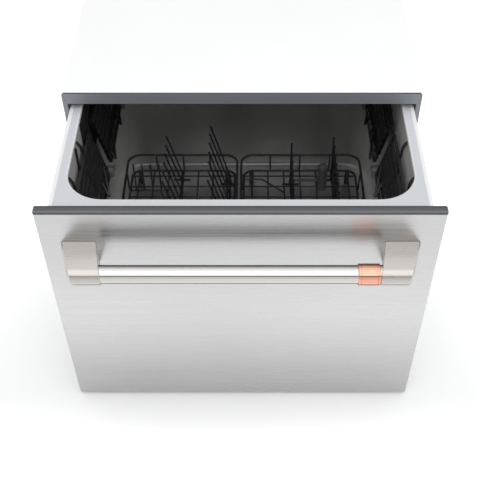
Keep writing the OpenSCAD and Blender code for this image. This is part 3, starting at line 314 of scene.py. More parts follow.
looks = {
    brushedFinish: {
        # doorSteel: fade paints the lower door darker, a painted shade
        "doorSteel": tone((0.51, 0.51, 0.515), (0.605, 0.60, 0.60), (0.1, 0.53), 0.0004, grain=(3, 3, 1500),
                          fade=(0.25, 0.08, 0.9)),
        "controlStrip": tone((0.112, 0.115, 0.122), (0.15, 0.153, 0.16), (0.16, 0.24), 0.002, grain=(5, 600, 600)),
        # barSteel, ringCopper, bracketNickel: shade paints the back darker and top paints the lower part darker, as
        # painted reflections
        "barSteel": tone((0.575, 0.56, 0.545), (0.635, 0.62, 0.605), (0.06, 0.09), 0.0008, grain=(6, 500, 500),
                         shade=(-0.0430, -0.0395, 0.22), top=(0.3903, 0.3883, 0.35)),
        "ringCopper": tone((0.76, 0.36, 0.25), (0.84, 0.44, 0.33), (0.08, 0.13), 0.001, grain=(900, 60, 60),
                           shade=(-0.0435, -0.0395, 0.45), top=(0.3903, 0.3883, 0.45)),
        "bracketNickel": tone((0.47, 0.44, 0.415), (0.56, 0.53, 0.50), (0.24, 0.3), 0.0007, grain=(12, 700, 700),
                              top=(0.3893, 0.3872, 0.6)),
        # surroundGrey: top paints the flange's top face dark, a painted reflection
        "surroundGrey": tone((0.195, 0.21, 0.237), (0.265, 0.286, 0.318), (0.42, 0.52), 0.006,
                             grain=(4, 700, 700), metallic=0.1, top=(0.4782, 0.4787, 0.2)),
        "filterSteel": tone((0.36, 0.36, 0.36), (0.46, 0.46, 0.46), (0.3, 0.4), 0.01, grain=(400, 6, 400),
                            holes=4.0),
        "rotorSteel": tone((0.5, 0.5, 0.5), (0.6, 0.6, 0.6), (0.24, 0.34), 0.008, grain=(60, 60, 900)),
        "runnerSteel": tone((0.52, 0.53, 0.54), (0.62, 0.63, 0.64), (0.28, 0.38), 0.01, grain=(200, 4, 500)),
        "screwSteel": tone((0.5, 0.5, 0.49), (0.64, 0.64, 0.63), (0.24, 0.34), 0.006, grain=(400, 400, 400)),
    },
    mouldedFinish: {
        "whitePaint": tone((0.90, 0.90, 0.90), (0.94, 0.94, 0.94), (0.42, 0.5), 0.02, grain=420.0),
        "shellGrey": tone((0.50, 0.51, 0.52), (0.56, 0.57, 0.58), (0.5, 0.6), 0.03),
        "rackCoating": tone((0.030, 0.031, 0.033), (0.045, 0.046, 0.048), (0.22, 0.34), 0.02),
        "tineCoating": tone((0.02, 0.021, 0.023), (0.032, 0.033, 0.035), (0.2, 0.32), 0.02),
        "cupPlastic": tone((0.014, 0.014, 0.015), (0.026, 0.026, 0.027), (0.16, 0.3), 0.03),
        "basketPlastic": tone((0.03, 0.031, 0.033), (0.045, 0.046, 0.048), (0.35, 0.48), 0.03),
        "postGrey": tone((0.10, 0.10, 0.105), (0.15, 0.15, 0.155), (0.4, 0.5), 0.03),
        "hingeGrey": tone((0.16, 0.16, 0.165), (0.21, 0.21, 0.215), (0.3, 0.42), 0.03),
        "dispenserGrey": tone((0.36, 0.37, 0.38), (0.42, 0.43, 0.44), (0.36, 0.46), 0.02),
        "capBlue": tone((0.05, 0.14, 0.30), (0.07, 0.18, 0.36), (0.32, 0.42), 0.02),
        "armGrey": tone((0.40, 0.41, 0.42), (0.46, 0.47, 0.48), (0.36, 0.46), 0.02),
        "filterGrey": tone((0.42, 0.43, 0.44), (0.48, 0.49, 0.5), (0.4, 0.5), 0.02),
        "sumpBlack": tone((0.03, 0.03, 0.032), (0.045, 0.045, 0.048), (0.4, 0.52), 0.03),
        "motorDark": tone((0.05, 0.052, 0.055), (0.08, 0.082, 0.085), (0.45, 0.6), 0.03, metallic=0.3),
        "wheelWhite": tone((0.72, 0.72, 0.7), (0.78, 0.78, 0.76), (0.35, 0.45), 0.02),
        "blackPlastic": tone((0.028, 0.028, 0.03), (0.04, 0.04, 0.042), (0.4, 0.5), 0.03),
        "lidGrey": tone((0.52, 0.53, 0.54), (0.58, 0.59, 0.6), (0.42, 0.52), 0.03),
        "rubberBlack": tone((0.018, 0.018, 0.019), (0.028, 0.028, 0.029), (0.6, 0.72), 0.04),
        "valveWhite": tone((0.74, 0.74, 0.73), (0.8, 0.8, 0.79), (0.38, 0.46), 0.02),
        "coreGrey": tone((0.44, 0.45, 0.46), (0.5, 0.51, 0.52), (0.5, 0.6), 0.03),
    },
    # rimGrey: edge is the painted highlight colour given to the edges and roundings
    rimFinish: {"rimGrey": tone(
        (0.55, 0.565, 0.59), (0.59, 0.605, 0.63), (0.28, 0.36), 0.012, grain=900.0, edge=(0.80, 0.81, 0.82),
        edgeFrom=282.2, blend=0.8, top=0.448, worn=0.8, wear=(0.02, 0.3))},
    # linerSteel: pale and paleLow are painted light on the side walls, brighter lower down
    satinFinish: {"linerSteel": tone(
        (0.42, 0.42, 0.415), (0.52, 0.515, 0.51), (0.38, 0.5), 0.012, grain=(5, 5, 420), wall=(0.222, 0.262),
        pale=(0.60, 0.59, 0.575), paleLow=(0.95, 0.94, 0.92), low=(0.42, 0.14), wallRough=0.62, wallMetal=0.45)},
    galvanisedFinish: {"galvanised": tone(
        (0.46, 0.47, 0.48), (0.6, 0.61, 0.62), (0.34, 0.46), 0.01, spangle=90.0, grain=700.0)},
    feltFinish: {"felt": tone(
        (0.07, 0.068, 0.066), (0.14, 0.137, 0.133), (0.85, 0.95), 0.3, fibres=900.0, clumps=60.0, sheen=0.4)},
}
finishes = {}
for mixFinish, family in looks.items():
    for key, look in family.items():
        finishes[key] = mixFinish("".join("_" + c.lower() if c.isupper() else c for c in key), look)
print("finishes mixed:", len(finishes))


# ---- making and joining meshes ----

def spot(x, y, z):
    return Vector((x * mm, doorFace + y * mm, z * mm))


def corners(node):
    return [Vector((p.x / mm, (p.y - doorFace) / mm, p.z / mm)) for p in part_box(node)]


def addObject(name, mesh, finish=None):
    made = bpy.data.objects.new(name, mesh)
    room.objects.link(made)
    if finish:
        mesh.materials.clear()
        mesh.materials.append(finishes[finish])
    return made


def shadeBy(mesh, angle):   # smooth, with sharp edges above the angle
    mesh.shade_smooth()
    mesh.set_sharp_from_angle(angle=math.radians(angle))


def build(name, points, faces, finish):
    mesh = bpy.data.meshes.new(name)
    mesh.from_pydata([spot(*p) for p in points], [], faces)
    work = bmesh.new()
    work.from_mesh(mesh)
    bmesh.ops.remove_doubles(work, verts=work.verts, dist=0.001 * mm)
    bmesh.ops.recalc_face_normals(work, faces=work.faces)
    work.to_mesh(mesh)
    work.free()
    shadeBy(mesh, 35)
    return addObject(name, mesh, finish)


def settle(piece):  # modifiers become plain mesh
    graph = bpy.context.evaluated_depsgraph_get()
    mesh = bpy.data.meshes.new_from_object(piece.evaluated_get(graph), preserve_all_data_layers=True,
                                           depsgraph=graph)
    piece.modifiers.clear()
    piece.data = mesh
    return piece


def shaped(piece, kind, **settings):   # one modifier, settled
    made = piece.modifiers.new("shaping", kind)
    for key, value in settings.items():
        setattr(made, key, value)
    return settle(piece)


def soften(piece, width, segments, angle=30):
    return shaped(piece, "BEVEL", width=width * mm, segments=segments, limit_method="ANGLE",
                  angle_limit=math.radians(angle), harden_normals=True, use_clamp_overlap=True)


def evenOut(piece):  # flat faces keep their flat look beside a rounding
    return shaped(piece, "WEIGHTED_NORMAL", keep_sharp=True)


def fit(piece, body, slot, *nodes):
    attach(piece, body)
    if nodes:
        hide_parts(*nodes)
    return piece


def ring(low, high, inset, radius, height, turns=12):  # flat loop with round corners, drawn in from a box
    points, inside = [], inset + radius
    for right, rear, start in ((1, 1, 0), (0, 1, 90), (0, 0, 180), (1, 0, 270)):
        x = high[0] - inside if right else low[0] + inside
        y = high[1] - inside if rear else low[1] + inside
        for i in range(turns + 1):
            a = math.radians(start + 90 * i / turns)
            points.append((x + radius * math.cos(a), y + radius * math.sin(a), height))
    return points


def rounding(radius, angles):   # how far in and how far down points of a quarter circle lie
    return [(radius * (1 - math.cos(a)), radius * (1 - math.sin(a))) for a in map(math.radians, angles)]


def loft(name, rings, finish, around=False):  # skin over loops that have equal numbers of points
    count, points = len(rings[0]), [p for r in rings for p in r]
    steps = len(rings) if around else len(rings) - 1
    faces = []
    for i in range(steps):
        a, b = i * count, (i + 1) % len(rings) * count
        faces += [(a + j, a + (j + 1) % count, b + (j + 1) % count, b + j) for j in range(count)]
    if not around:
        faces += [tuple(range(count)), tuple(range((len(rings) - 1) * count, len(rings) * count))]
    return build(name, points, faces, finish)


def turned(name, stations, centre, finish, sides=64, around=False):  # round about an axis along x
    circle = [(math.cos(2 * math.pi * k / sides), math.sin(2 * math.pi * k / sides)) for k in range(sides)]
    rings = [[(x, centre[0] + r * c, centre[1] + r * s) for c, s in circle] for x, r in stations]
    return loft(name, rings, finish, around)


def softenedCopy(node, finish, width):
    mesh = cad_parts[node].data.copy()
    mesh.name = node + "_dressed"
    work = bmesh.new()
    work.from_mesh(mesh)
    bmesh.ops.remove_doubles(work, verts=work.verts, dist=0.005 * mm)
    bmesh.ops.dissolve_limit(work, angle_limit=math.radians(0.6), verts=work.verts, edges=work.edges)
    work.to_mesh(mesh)
    work.free()
    if "custom_normal" in mesh.attributes:
        mesh.attributes.remove(mesh.attributes["custom_normal"])
    shadeBy(mesh, 35)
    return soften(addObject(node + "_dressed", mesh, finish), width, 2)


def carry(node, finish):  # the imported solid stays, with its own finish
    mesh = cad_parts[node].data
    mesh.materials.clear()
    mesh.materials.append(finishes[finish])


def joined(name, finish, pieces):
    work = bmesh.new()
    for piece in pieces:
        work.from_mesh(piece.data)
    for face in work.faces:
        face.material_index = 0
    mesh = bpy.data.meshes.new(name)
    work.to_mesh(mesh)
    work.free()
    for piece in pieces:
        bpy.data.objects.remove(piece)
    return addObject(name, mesh, finish)


# ---- plans for what repeats or follows a path ----

rowInputs = {"Count": "Int", "Start": "Vector", "Step": "Vector"}


class Plan(Network):  # one tree of geometry nodes
    def __init__(self, name, inputs):
        super().__init__(bpy.data.node_groups.new(name, "GeometryNodeTree"))
        face = self.tree.interface
        face.new_socket("Geometry", in_out="INPUT", socket_type="NodeSocketGeometry")
        face.new_socket("Geometry", in_out="OUTPUT", socket_type="NodeSocketGeometry")
        self.keys = {}
        for key, kind in inputs.items():
            self.keys[key] = face.new_socket(key, in_out="INPUT", socket_type="NodeSocket" + kind).identifier
        self.entry = self.tree.nodes.new("NodeGroupInput")

    def given(self, key):
        return Signal(self, self.entry.outputs[key])

    def path(self, count, bend):   # the given edges as a curve with round bends
        curve = self.node("GeometryNodeMeshToCurve", None, {0: self.given("Geometry")})
        return self.node("GeometryNodeFilletCurve", {"mode": "POLY"}, {
            "Curve": curve, "Count": count, "Radius": bend, "Limit Radius": True})

    def tube(self, curve, radius, sides, **sockets):
        section = self.node("GeometryNodeCurvePrimitiveCircle", {"mode": "RADIUS"}, {
            "Resolution": sides, "Radius": radius})
        return self.node("GeometryNodeCurveToMesh", None, {
            "Curve": curve, "Profile Curve": section, "Fill Caps": True, **sockets})

    def row(self, shape, **sockets):
        line = self.node("GeometryNodeMeshLine", {"mode": "OFFSET"}, {
            "Count": self.given("Count"), "Start Location": self.given("Start"), "Offset": self.given("Step")})
        return self.node("GeometryNodeInstanceOnPoints", None, {"Points": line, "Instance": shape, **sockets})

    def both(self, first, second):
        return self.node("GeometryNodeJoinGeometry", None, {"Geometry": [first, second]})

    def end(self, geometry):
        real = self.node("GeometryNodeRealizeInstances", None, {0: geometry})
        way = self.tree.nodes.new("NodeGroupOutput")
        self.tree.links.new(real.socket, way.inputs["Geometry"])

    def run(self, values, paths=()):   # a bare part, for joined() to name and finish
        mesh = bpy.data.meshes.new("part")
        points, edges = [], []
        for path, closed in paths:
            first = len(points)
            points += [spot(*p) for p in path]
            edges += [(first + i, first + i + 1) for i in range(len(path) - 1)]
            if closed:
                edges.append((len(points) - 1, first))
        mesh.from_pydata(points, edges, [])
        piece = addObject("part", mesh)
        plan = piece.modifiers.new("plan", "NODES")
        plan.node_group = self.tree
        for key, value in values.items():
            plan[self.keys[key]] = value
        settle(piece)
        shadeBy(piece.data, 40)
        return piece


wirePlan = Plan("wire work", {"Thickness": "Float", "Bend": "Float", "Sides": "Int"})
wirePlan.end(wirePlan.tube(wirePlan.path(6, wirePlan.given("Bend")), wirePlan.given("Thickness") * 0.5,
                           wirePlan.given("Sides")))

tinePlan = Plan("tine row", {**rowInputs, "Length": "Float", "Lean": "Float", "Thickness": "Float", "Tip": "Float"})
tineTop = tinePlan.node("ShaderNodeCombineXYZ", None, {2: tinePlan.given("Length")})
tineLine = tinePlan.node("GeometryNodeCurvePrimitiveLine", {"mode": "POINTS"}, {"End": tineTop})
tineTip = tinePlan.node("GeometryNodeTransform", None, {
    "Geometry": tinePlan.node("GeometryNodeMeshUVSphere", None, {
        "Segments": 12, "Rings": 8, "Radius": tinePlan.given("Tip") * 0.5}), "Translation": tineTop})
tinePlan.end(tinePlan.row(
    tinePlan.both(tinePlan.tube(tineLine, tinePlan.given("Thickness") * 0.5, 12), tineTip),
    Rotation=tinePlan.node("ShaderNodeCombineXYZ", None, {1: 0.0 - tinePlan.given("Lean")})))

slatPlan = Plan("slat row", {**rowInputs, "Size": "Vector"})
slatPlan.end(slatPlan.row(slatPlan.node("GeometryNodeMeshCube", None, {"Size": slatPlan.given("Size")})))


def wires(thickness, bend, paths, sides=12):
    return wirePlan.run({"Thickness": thickness * mm, "Bend": bend * mm, "Sides": sides}, paths)


def slatRow(count, start, step, size):  # start is the middle of the first slat
    return slatPlan.run({"Count": count, "Start": spot(*start), "Step": Vector(step) * mm, "Size": Vector(size) * mm})


# ---- door ----

doorLook = {"fold": 2.2, "sheet": 1.0}
stripLook = {"front": 3.0, "end": 0.5, "recess": 1.2, "recessUp": 1.5, "step": 0.2, "lip": 2.7, "lipDown": 1.0,
             "lipIn": 0.6, "lipCut": (0.5, 0.8), "lipEdge": 0.2}


def makeDoor():
    low, high = corners("door_skin")
    mesh = bpy.data.meshes.new("door_front")
    work = bmesh.new()
    bmesh.ops.create_cube(work, size=1)
    for v in work.verts:
        v.co = spot(*(low[i] if v.co[i] < 0 else high[i] for i in range(3)))
    away = [f for f in work.faces if f.normal.y > 0.9 or f.normal.z > 0.9]   # open at the back and the top
    bmesh.ops.delete(work, geom=away, context="FACES")
    folds = [e for e in work.edges if not e.is_boundary]
    bmesh.ops.bevel(work, geom=folds, offset=doorLook["fold"] * mm, segments=5, affect="EDGES", profile=0.5)
    work.to_mesh(mesh)
    work.free()
    shadeBy(mesh, 50)
    front = shaped(addObject("door_front", mesh, "doorSteel"), "SOLIDIFY", thickness=doorLook["sheet"] * mm, offset=-1)
    fit(evenOut(front), "drawer", "stainless", "door_skin")

    low, high = corners("door_cap")
    front, back, recess, up = stripLook["front"], high.y - stripLook["lip"], stripLook["recess"], stripLook["recessUp"]
    arc = [(recess, low.z), (recess, low.z + up), (0.0, low.z + up + stripLook["step"])]
    arc += [(y, high.z - down) for y, down in rounding(front, range(0, 91, 10))] + [(back, high.z), (back, low.z)]
    strip = loft("control_strip", [[(x, y, z) for y, z in arc] for x in (low.x, high.x)], "controlStrip")
    fit(soften(strip, stripLook["end"], 2, 50), "drawer", "control_strip", "door_cap")
    # black rubber lip along the cap's back edge, a dark piece put where the gap behind the cap lies in shade
    down, inset, (cutIn, cutDown) = high.z - stripLook["lipDown"], stripLook["lipIn"], stripLook["lipCut"]
    arc = [(back, low.z), (high.y, low.z), (high.y, down - cutDown), (high.y - cutIn, down), (back, down)]
    lip = loft("strip_shadow_lip", [[(x, y, z) for y, z in arc] for x in (low.x + inset, high.x - inset)], "rubberBlack")
    fit(soften(lip, stripLook["lipEdge"], 1, 50), "drawer", "control_strip")


# ---- handle ----

barLook = {"reveal": 0.8, "revealWidth": 1.4, "slope": 0.5, "into": 6.0}
ringLook = {"over": 0.9, "chamfer": 1.0, "groove": 0.55, "grooveWidth": 1.1, "grooveIn": 3.4, "slope": 0.25,
            "easing": 0.35, "gap": 0.02}
bracketLook = {"in": (215.4, 204.8), "out": (268.4, 252.6), "lean": 0.13, "chamfer": 2.6, "arris": 0.6,
               "tipRound": 32.0, "tipSteps": 14, "footDepth": 3.0, "seam": 0.9}


def makeHandle():
    low, high = corners("handle_bar")
    centre, radius = ((low.y + high.y) / 2, (low.z + high.z) / 2), (high.z - low.z) / 2
    thin, wide, slope = radius - barLook["reveal"], barLook["revealWidth"], barLook["slope"]
    low.x, high.x = low.x - barLook["into"], high.x + barLook["into"]   # its ends reach into the brackets
    stations = [(low.x, thin), (low.x + wide, thin), (low.x + wide + slope, radius),
                (high.x - wide - slope, radius), (high.x - wide, thin), (high.x, thin)]
    fit(turned("handle_bar_dressed", stations, centre, "barSteel"), "drawer", "bar_steel", "handle_bar")

    low, high = corners("handle_ring")
    high.x += ringLook["over"]   # meets the bracket
    outer, inner, c = (high.z - low.z) / 2, radius + ringLook["gap"], ringLook["chamfer"]
    groove, at, slope, ease = ringLook["groove"], low.x + ringLook["grooveIn"], ringLook["slope"], ringLook["easing"]
    far = at + ringLook["grooveWidth"]
    rise = [(low.x, inner), (low.x, outer - c), (low.x + c * ease, outer - c * ease), (low.x + c, outer),
            (at, outer), (at + slope, outer - groove), (far, outer - groove), (far + slope, outer)]
    middle = low.x + high.x
    fall = [(middle - x, r) for x, r in reversed(rise)]
    fit(turned("copper_ring", rise + fall, centre, "ringCopper", 72, around=True), "drawer", "copper", "handle_ring")

    for side in (-1, 1):
        makeBracket(side, centre)


def makeBracket(side, centre):
    node = "handle_bracket_left" if side < 0 else "handle_bracket_right"
    low, high = corners(node)
    half, tip, deep = (high.z - low.z) / 2, bracketLook["tipRound"] / 2, bracketLook["footDepth"]
    reach, seam, steps = -centre[0] - deep, bracketLook["seam"], bracketLook["tipSteps"]
    touch = math.atan2(half, reach) + math.acos(tip / math.hypot(reach, half))   # straight side meets round end

    def outline(shrink):   # seen along x, shrunk all round
        edge = half - shrink
        upper = [(0.0, edge - seam), (-seam, edge - seam), (-seam, edge), (-deep, edge)]
        for i in range(steps + 1):
            a = touch + (math.pi - touch) * i / steps
            upper.append((centre[0] + (tip - shrink) * math.cos(a), (tip - shrink) * math.sin(a)))
        return upper + [(y, -z) for y, z in reversed(upper[:-1])]

    def across(ends, y, z, lean):   # x at a place between the door and the front
        return ends[0] + (ends[1] - ends[0]) * y / low.y - lean * (half - z)

    c, arris, lean = bracketLook["chamfer"], bracketLook["arris"], bracketLook["lean"]
    rings = [[(side * (across(bracketLook[end], y, z, leaning) + shift), y, centre[1] + z)
              for y, z in outline(shrink)]
             for end, leaning, shift, shrink in (
                 ("in", 0.0, 0.0, arris), ("in", 0.0, arris, 0.0), ("out", lean, -c, 0.0), ("out", lean, 0.0, c))]
    fit(evenOut(loft(node + "_dressed", rings, "bracketNickel")), "drawer", "bracket_nickel", node)


makeDoor()
makeHandle()
print("door and handle made")


# ---- front surround ----

surroundLook = {"edge": 0.7, "flange": 3.2, "wrap": 1.05, "wrapEdge": 0.4, "wrapBack": 1.0,
                "soft": (0.3, 0.35, 0.2)}   # roundings of the top, the sides and the wrapper's edge


def makeSurround():
    low, high = corners("surround_top")
    sideLow, sideHigh = corners("surround_right")
    inner, outer, cutTop = sideLow.x, high.x, sideHigh.z
    softTop, softSide, softWrap = surroundLook["soft"]

    def mitre(x):
        return low.z + (cutTop - low.z) * (x - inner) / (outer - inner)

    def ends(z):  # where the mitre or the cut corner lies at a height
        if z > cutTop:
            return outer - (z - cutTop)
        return inner + (outer - inner) * (z - low.z) / (cutTop - low.z)

    def bar(name, outline, finish):
        return loft(name, [[(k * ends(z), y, z) for y, z in outline] for k in (-1, 1)], finish)

    e, flange = surroundLook["edge"], low.y + surroundLook["flange"]
    outline = [(high.y, low.z), (low.y + e, low.z), (low.y, low.z + e), (low.y, cutTop), (low.y, high.z - e),
               (low.y + e, high.z), (flange, high.z), (flange, cutTop), (high.y, cutTop)]
    top = bar("surround_top_dressed", outline, "surroundGrey")
    fit(soften(top, softTop, 2), "chassis", "surround_grey", "surround_top")
    lift, bend, back = high.z - surroundLook["wrap"], surroundLook["wrapEdge"], high.y + surroundLook["wrapBack"]
    outline = [(flange, cutTop), (flange, lift - bend), (flange + bend, lift), (back, lift), (back, cutTop)]
    edge = bar("wrap_front_edge", outline, "whitePaint")
    fit(soften(edge, softWrap, 1), "chassis", "white_paint")

    outline = [(sideHigh.x, high.y), (sideHigh.x, low.y + e), (sideHigh.x - e, low.y), (sideLow.x + e, low.y),
               (sideLow.x, low.y + e), (sideLow.x, high.y)]
    for k, node in ((-1, "surround_left"), (1, "surround_right")):
        rings = [[(k * x, y, z) for x, y, z in level] for level in (
            [(x, y, 0.0) for x, y in outline], [(x, y, mitre(x)) for x, y in outline])]
        side = loft(node + "_dressed", rings, "surroundGrey")
        fit(soften(side, softSide, 2), "chassis", "surround_grey", node)


makeSurround()
print("surround made")


# ---- tub ----

rimLook = {"corner": 9.0, "least": 1.5, "lip": 60.0, "round": 3.2, "band": 5.4, "groove": 0.6, "grooveWidth": 1.0,
           "slope": 0.3, "skirt": 2.5, "front": 12.0, "thick": 6.0, "linerUnder": 8.5,
           "edge": [(0.0, 1.6), (0.35, 0.7), (1.0, 0.18), (1.9, 0.0)]}   # how far in and how far under the top
linerLook = {"over": 1.5, "sheet": 1.0, "cove": 7.0, "lip": 7.0, "hole": 93.0, "holeY": 280.0, "floor": 101.0,
             "edge": [(0.6, 0.0), (0.15, 0.3), (0.0, 0.9)], "dispenser": ((-60.5, 29.0, 327.5), (60.5, 60.0, 404.5))}


def opening(grow, z):
    return ring(*corners("tub_liner"), rimLook["linerUnder"] - grow, rimLook["lip"] + grow, z, 16)


def makeRim():
    low, high = corners("tub_rim")
    top, under, skirt = high.z, high.z - rimLook["thick"], rimLook["skirt"]

    def outside(inset, z):
        return ring(low, high, inset, max(rimLook["corner"] - inset, rimLook["least"]), z, 16)

    def hanging(inset):  # the skirt leaves out the front
        return [(x, y, low.z if abs(x) > high.x - skirt - 0.2 or y > low.y + rimLook["front"] else under)
                for x, y, z in outside(inset, low.z)]

    band, deep, wide, lip, slope = (rimLook[k] for k in ("band", "groove", "grooveWidth", "round", "slope"))
    rings = [hanging(0)] + [outside(inset, top - down) for inset, down in rimLook["edge"]]
    rings += [outside(inset, top - down) for inset, down in (
        (band, 0), (band + slope, deep), (band + wide, deep), (band + wide + slope, 0))]
    rings += [opening(grow, top - down) for down, grow in rounding(lip, range(0, 91, 18))]
    rings += [opening(0, under), outside(skirt, under), hanging(skirt)]
    fit(evenOut(loft("tub_rim_dressed", rings, "rimGrey", around=True)), "drawer", "rim_grey", "tub_rim")


def cutDispenser(piece, gap):  # opening in the front wall
    a, b = [[v + sign * gap for v in corner] for sign, corner in zip((-1, 1), linerLook["dispenser"])]
    cutter = build("dispenser_cut", [(x, y, z) for x in (a[0], b[0]) for y in (a[1], b[1]) for z in (a[2], b[2])],
                   [(0, 1, 3, 2), (4, 6, 7, 5), (0, 4, 5, 1), (2, 3, 7, 6), (0, 2, 6, 4), (1, 5, 7, 3)], "linerSteel")
    shaped(piece, "BOOLEAN", operation="DIFFERENCE", object=cutter, solver="EXACT")
    bpy.data.objects.remove(cutter)
    shadeBy(piece.data, 30)


def makeLiner():
    top = corners("tub_liner")[1].z
    over, sheet, cove, lip, floor = (linerLook[k] for k in ("over", "sheet", "cove", "lip", "floor"))
    middle = Vector((0, linerLook["holeY"]))

    def hole(z):
        points = []
        for x, y, _ in opening(over - cove, z):
            away = (Vector((x, y)) - middle).normalized() * linerLook["hole"]
            points.append((away.x, middle.y + away.y, z))
        return points

    def bend(out, radius, base, angles):   # from wall to floor
        return [opening(out - back, base + up) for back, up in rounding(radius, angles)]

    rings = [opening(over + sheet + out, z) for out, z in
             ((0, top - sheet), (lip - sheet, top - sheet), (lip - sheet, top))]
    rings += [opening(over + out, top - down) for out, down in linerLook["edge"]]
    rings += bend(over, cove, floor, range(0, 91, 10)) + [hole(floor), hole(floor - sheet)]
    rings += bend(over + sheet, cove + sheet, floor - sheet, range(90, -1, -10))
    liner = loft("tub_liner_dressed", rings, "linerSteel", around=True)
    cutDispenser(liner, 0.0)
    fit(evenOut(liner), "drawer", "liner_steel", "tub_liner")


makeRim()
makeLiner()
print("rim and liner made")


# ---- racks ----

rackLook = {"rail": 5.0, "railZ": 171.0, "wire": 3.5, "corner": 24.0, "grid": 34.0, "gridBend": 4.0, "baseZ": 132.0,
            "foot": 10.0, "footIn": (16.0, 4.0), "floor": 101.0, "tip": 4.7, "pivot": 4.0, "pivotZ": 140.0,
            "pitch": 26.0, "rowEnd": 6.0, "clip": (7.0, 6.0, 7.4), "clipDown": 0.6, "clipBar": 2.0,
            "edges": (1.2, 0.5), "into": 1.0, "over": 0.6, "under": 1.4, "footUp": 0.2}
tineRows = {   # a row that leans has its pivot at the inner edge of its box
    "tines_left_inner": {"length": 140.0, "lean": 15.0, "rack": "rack_left"},
    "tines_left_outer": {"length": 100.0, "lean": 15.0, "rack": "rack_left"},
    "tines_right_inner": {"length": 90.0, "lean": 0.0, "rack": "rack_right"},
    "tines_right_outer": {"length": 94.0, "lean": 0.0, "rack": "rack_right"},
}
guardLook = {"y": 404.1, "in": 17.5, "count": 4, "pitch": 17.0, "height": 72.0}
bowlLook = {"y": 397.6, "level": 42.0, "low": 84.0}


def rowPlaces(node):  # pivot x and the places of a row's tines
    look, (low, high) = tineRows[node], corners(node)
    x = high.x - rackLook["pivot"] / 2 if look["lean"] else (low.x + high.x) / 2
    first, last = low.y + rackLook["rowEnd"], high.y - rackLook["rowEnd"]
    return x, first, round((last - first) / rackLook["pitch"]) + 1


def spread(low, high, pitch):
    count = max(1, math.ceil((high - low) / pitch - 1e-6))
    return [low + (high - low) * (i + 0.5) / count for i in range(count)]


def straight(start, end):   # one open wire
    return [start, end], False


def makeRack(node, extra):
    low, high = corners(node)
    rail, wire, grid, r, railZ, baseZ = (rackLook[k] for k in ("rail", "wire", "grid", "corner", "railZ", "baseZ"))
    into, over, under, (clipEdge, barEdge) = (rackLook[k] for k in ("into", "over", "under", "edges"))
    (footX, footY), footZ = rackLook["footIn"], rackLook["floor"] + rackLook["footUp"]
    x0, x1, y0, y1 = low.x + rail / 2, high.x - rail / 2, low.y + rail / 2, high.y - rail / 2
    (left, right), (front, rear) = (x0 + rail, x1 - rail), (y0 + rail, y1 - rail)
    rails = [(ring(low, high, rail * 0.5, r, railZ, 8), True), (ring(low, high, rail * 1.5, r - rail, baseZ, 8), True)]
    posts = [(x, y) for x in spread(left + r, right - r, 2 * grid) for y in (y0 + rail / 2, y1 - rail / 2)]
    posts += [(x, y) for y in spread(front + r, rear - r, 2 * grid) for x in (x0 + rail / 2, x1 - rail / 2)]
    paths = [straight((x, y, baseZ - into), (x, y, railZ + into)) for x, y in posts]
    paths += [straight((x, front, baseZ + over), (x, rear, baseZ + over)) for x in spread(left, right, grid)]
    paths += [straight((left, y, baseZ - under), (right, y, baseZ - under)) for y in spread(front, rear, grid)]
    feet = [straight((x, y, footZ), (x, y, baseZ + into))
            for x in (left + footX, right - footX) for y in (front + footY, rear - footY)]
    parts = [wires(rail, 0, rails), wires(wire, rackLook["gridBend"], paths + extra(x0)),
             wires(rackLook["foot"], 0, feet)]
    wide, long, tall = rackLook["clip"]
    for row, look in tineRows.items():
        if look["rack"] == node:
            x, first, count = rowPlaces(row)
            for y in (first + rackLook["pitch"] / 2, first + (count - 1.5) * rackLook["pitch"]):
                clip = slatRow(1, (x, y, rackLook["pivotZ"] - rackLook["clipDown"]), (0, 0, 0), (wide, long, tall))
                bar = slatRow(1, (x, y, baseZ), (0, 0, 0), (grid, long, rackLook["clipBar"]))
                parts += [soften(clip, clipEdge, 2), soften(bar, barEdge, 1)]
    fit(joined(node + "_dressed", "rackCoating", parts), "drawer", "rack_coating", node)


def leftExtras(x0):  # short row of fixed guard tines
    y, base, pitch = guardLook["y"], rackLook["baseZ"], guardLook["pitch"]
    foot = base + rackLook["into"]
    places = [x0 + guardLook["in"] + i * pitch for i in range(guardLook["count"] + 1)]
    return [straight((x0 + rackLook["rail"], y, foot), (places[-1], y, foot))] + [
        straight((x, y, base), (x, y, base + guardLook["height"])) for x in places[:-1]]


def rightExtras(x0):  # wire that steadies bowls
    y, z = bowlLook["y"], rackLook["railZ"] - 1
    return [([(x0, y, z), (x0 + bowlLook["level"], y, z), (bowlLook["low"], y, rackLook["baseZ"])], False)]


def makeTines(node):
    look, (x, first, count) = tineRows[node], rowPlaces(node)
    base, pitch, end = rackLook["pivotZ"], rackLook["pitch"], rackLook["rowEnd"]
    row = tinePlan.run({
        "Count": count, "Start": spot(x, first, base), "Step": Vector((0, pitch, 0)) * mm,
        "Length": look["length"] * mm, "Lean": math.radians(look["lean"]), "Thickness": rackLook["wire"] * mm,
        "Tip": rackLook["tip"] * mm})
    last = first + (count - 1) * pitch
    pivot = wires(rackLook["pivot"], 0, [straight((x, first - end, base), (x, last + end, base))])
    fit(joined(node + "_dressed", "tineCoating", [row, pivot]), node, "tine_coating", node)


makeRack("rack_left", leftExtras)
makeRack("rack_right", rightExtras)
for tineNode in tineRows:
    makeTines(tineNode)
print("racks made")


# ---- cup racks ----

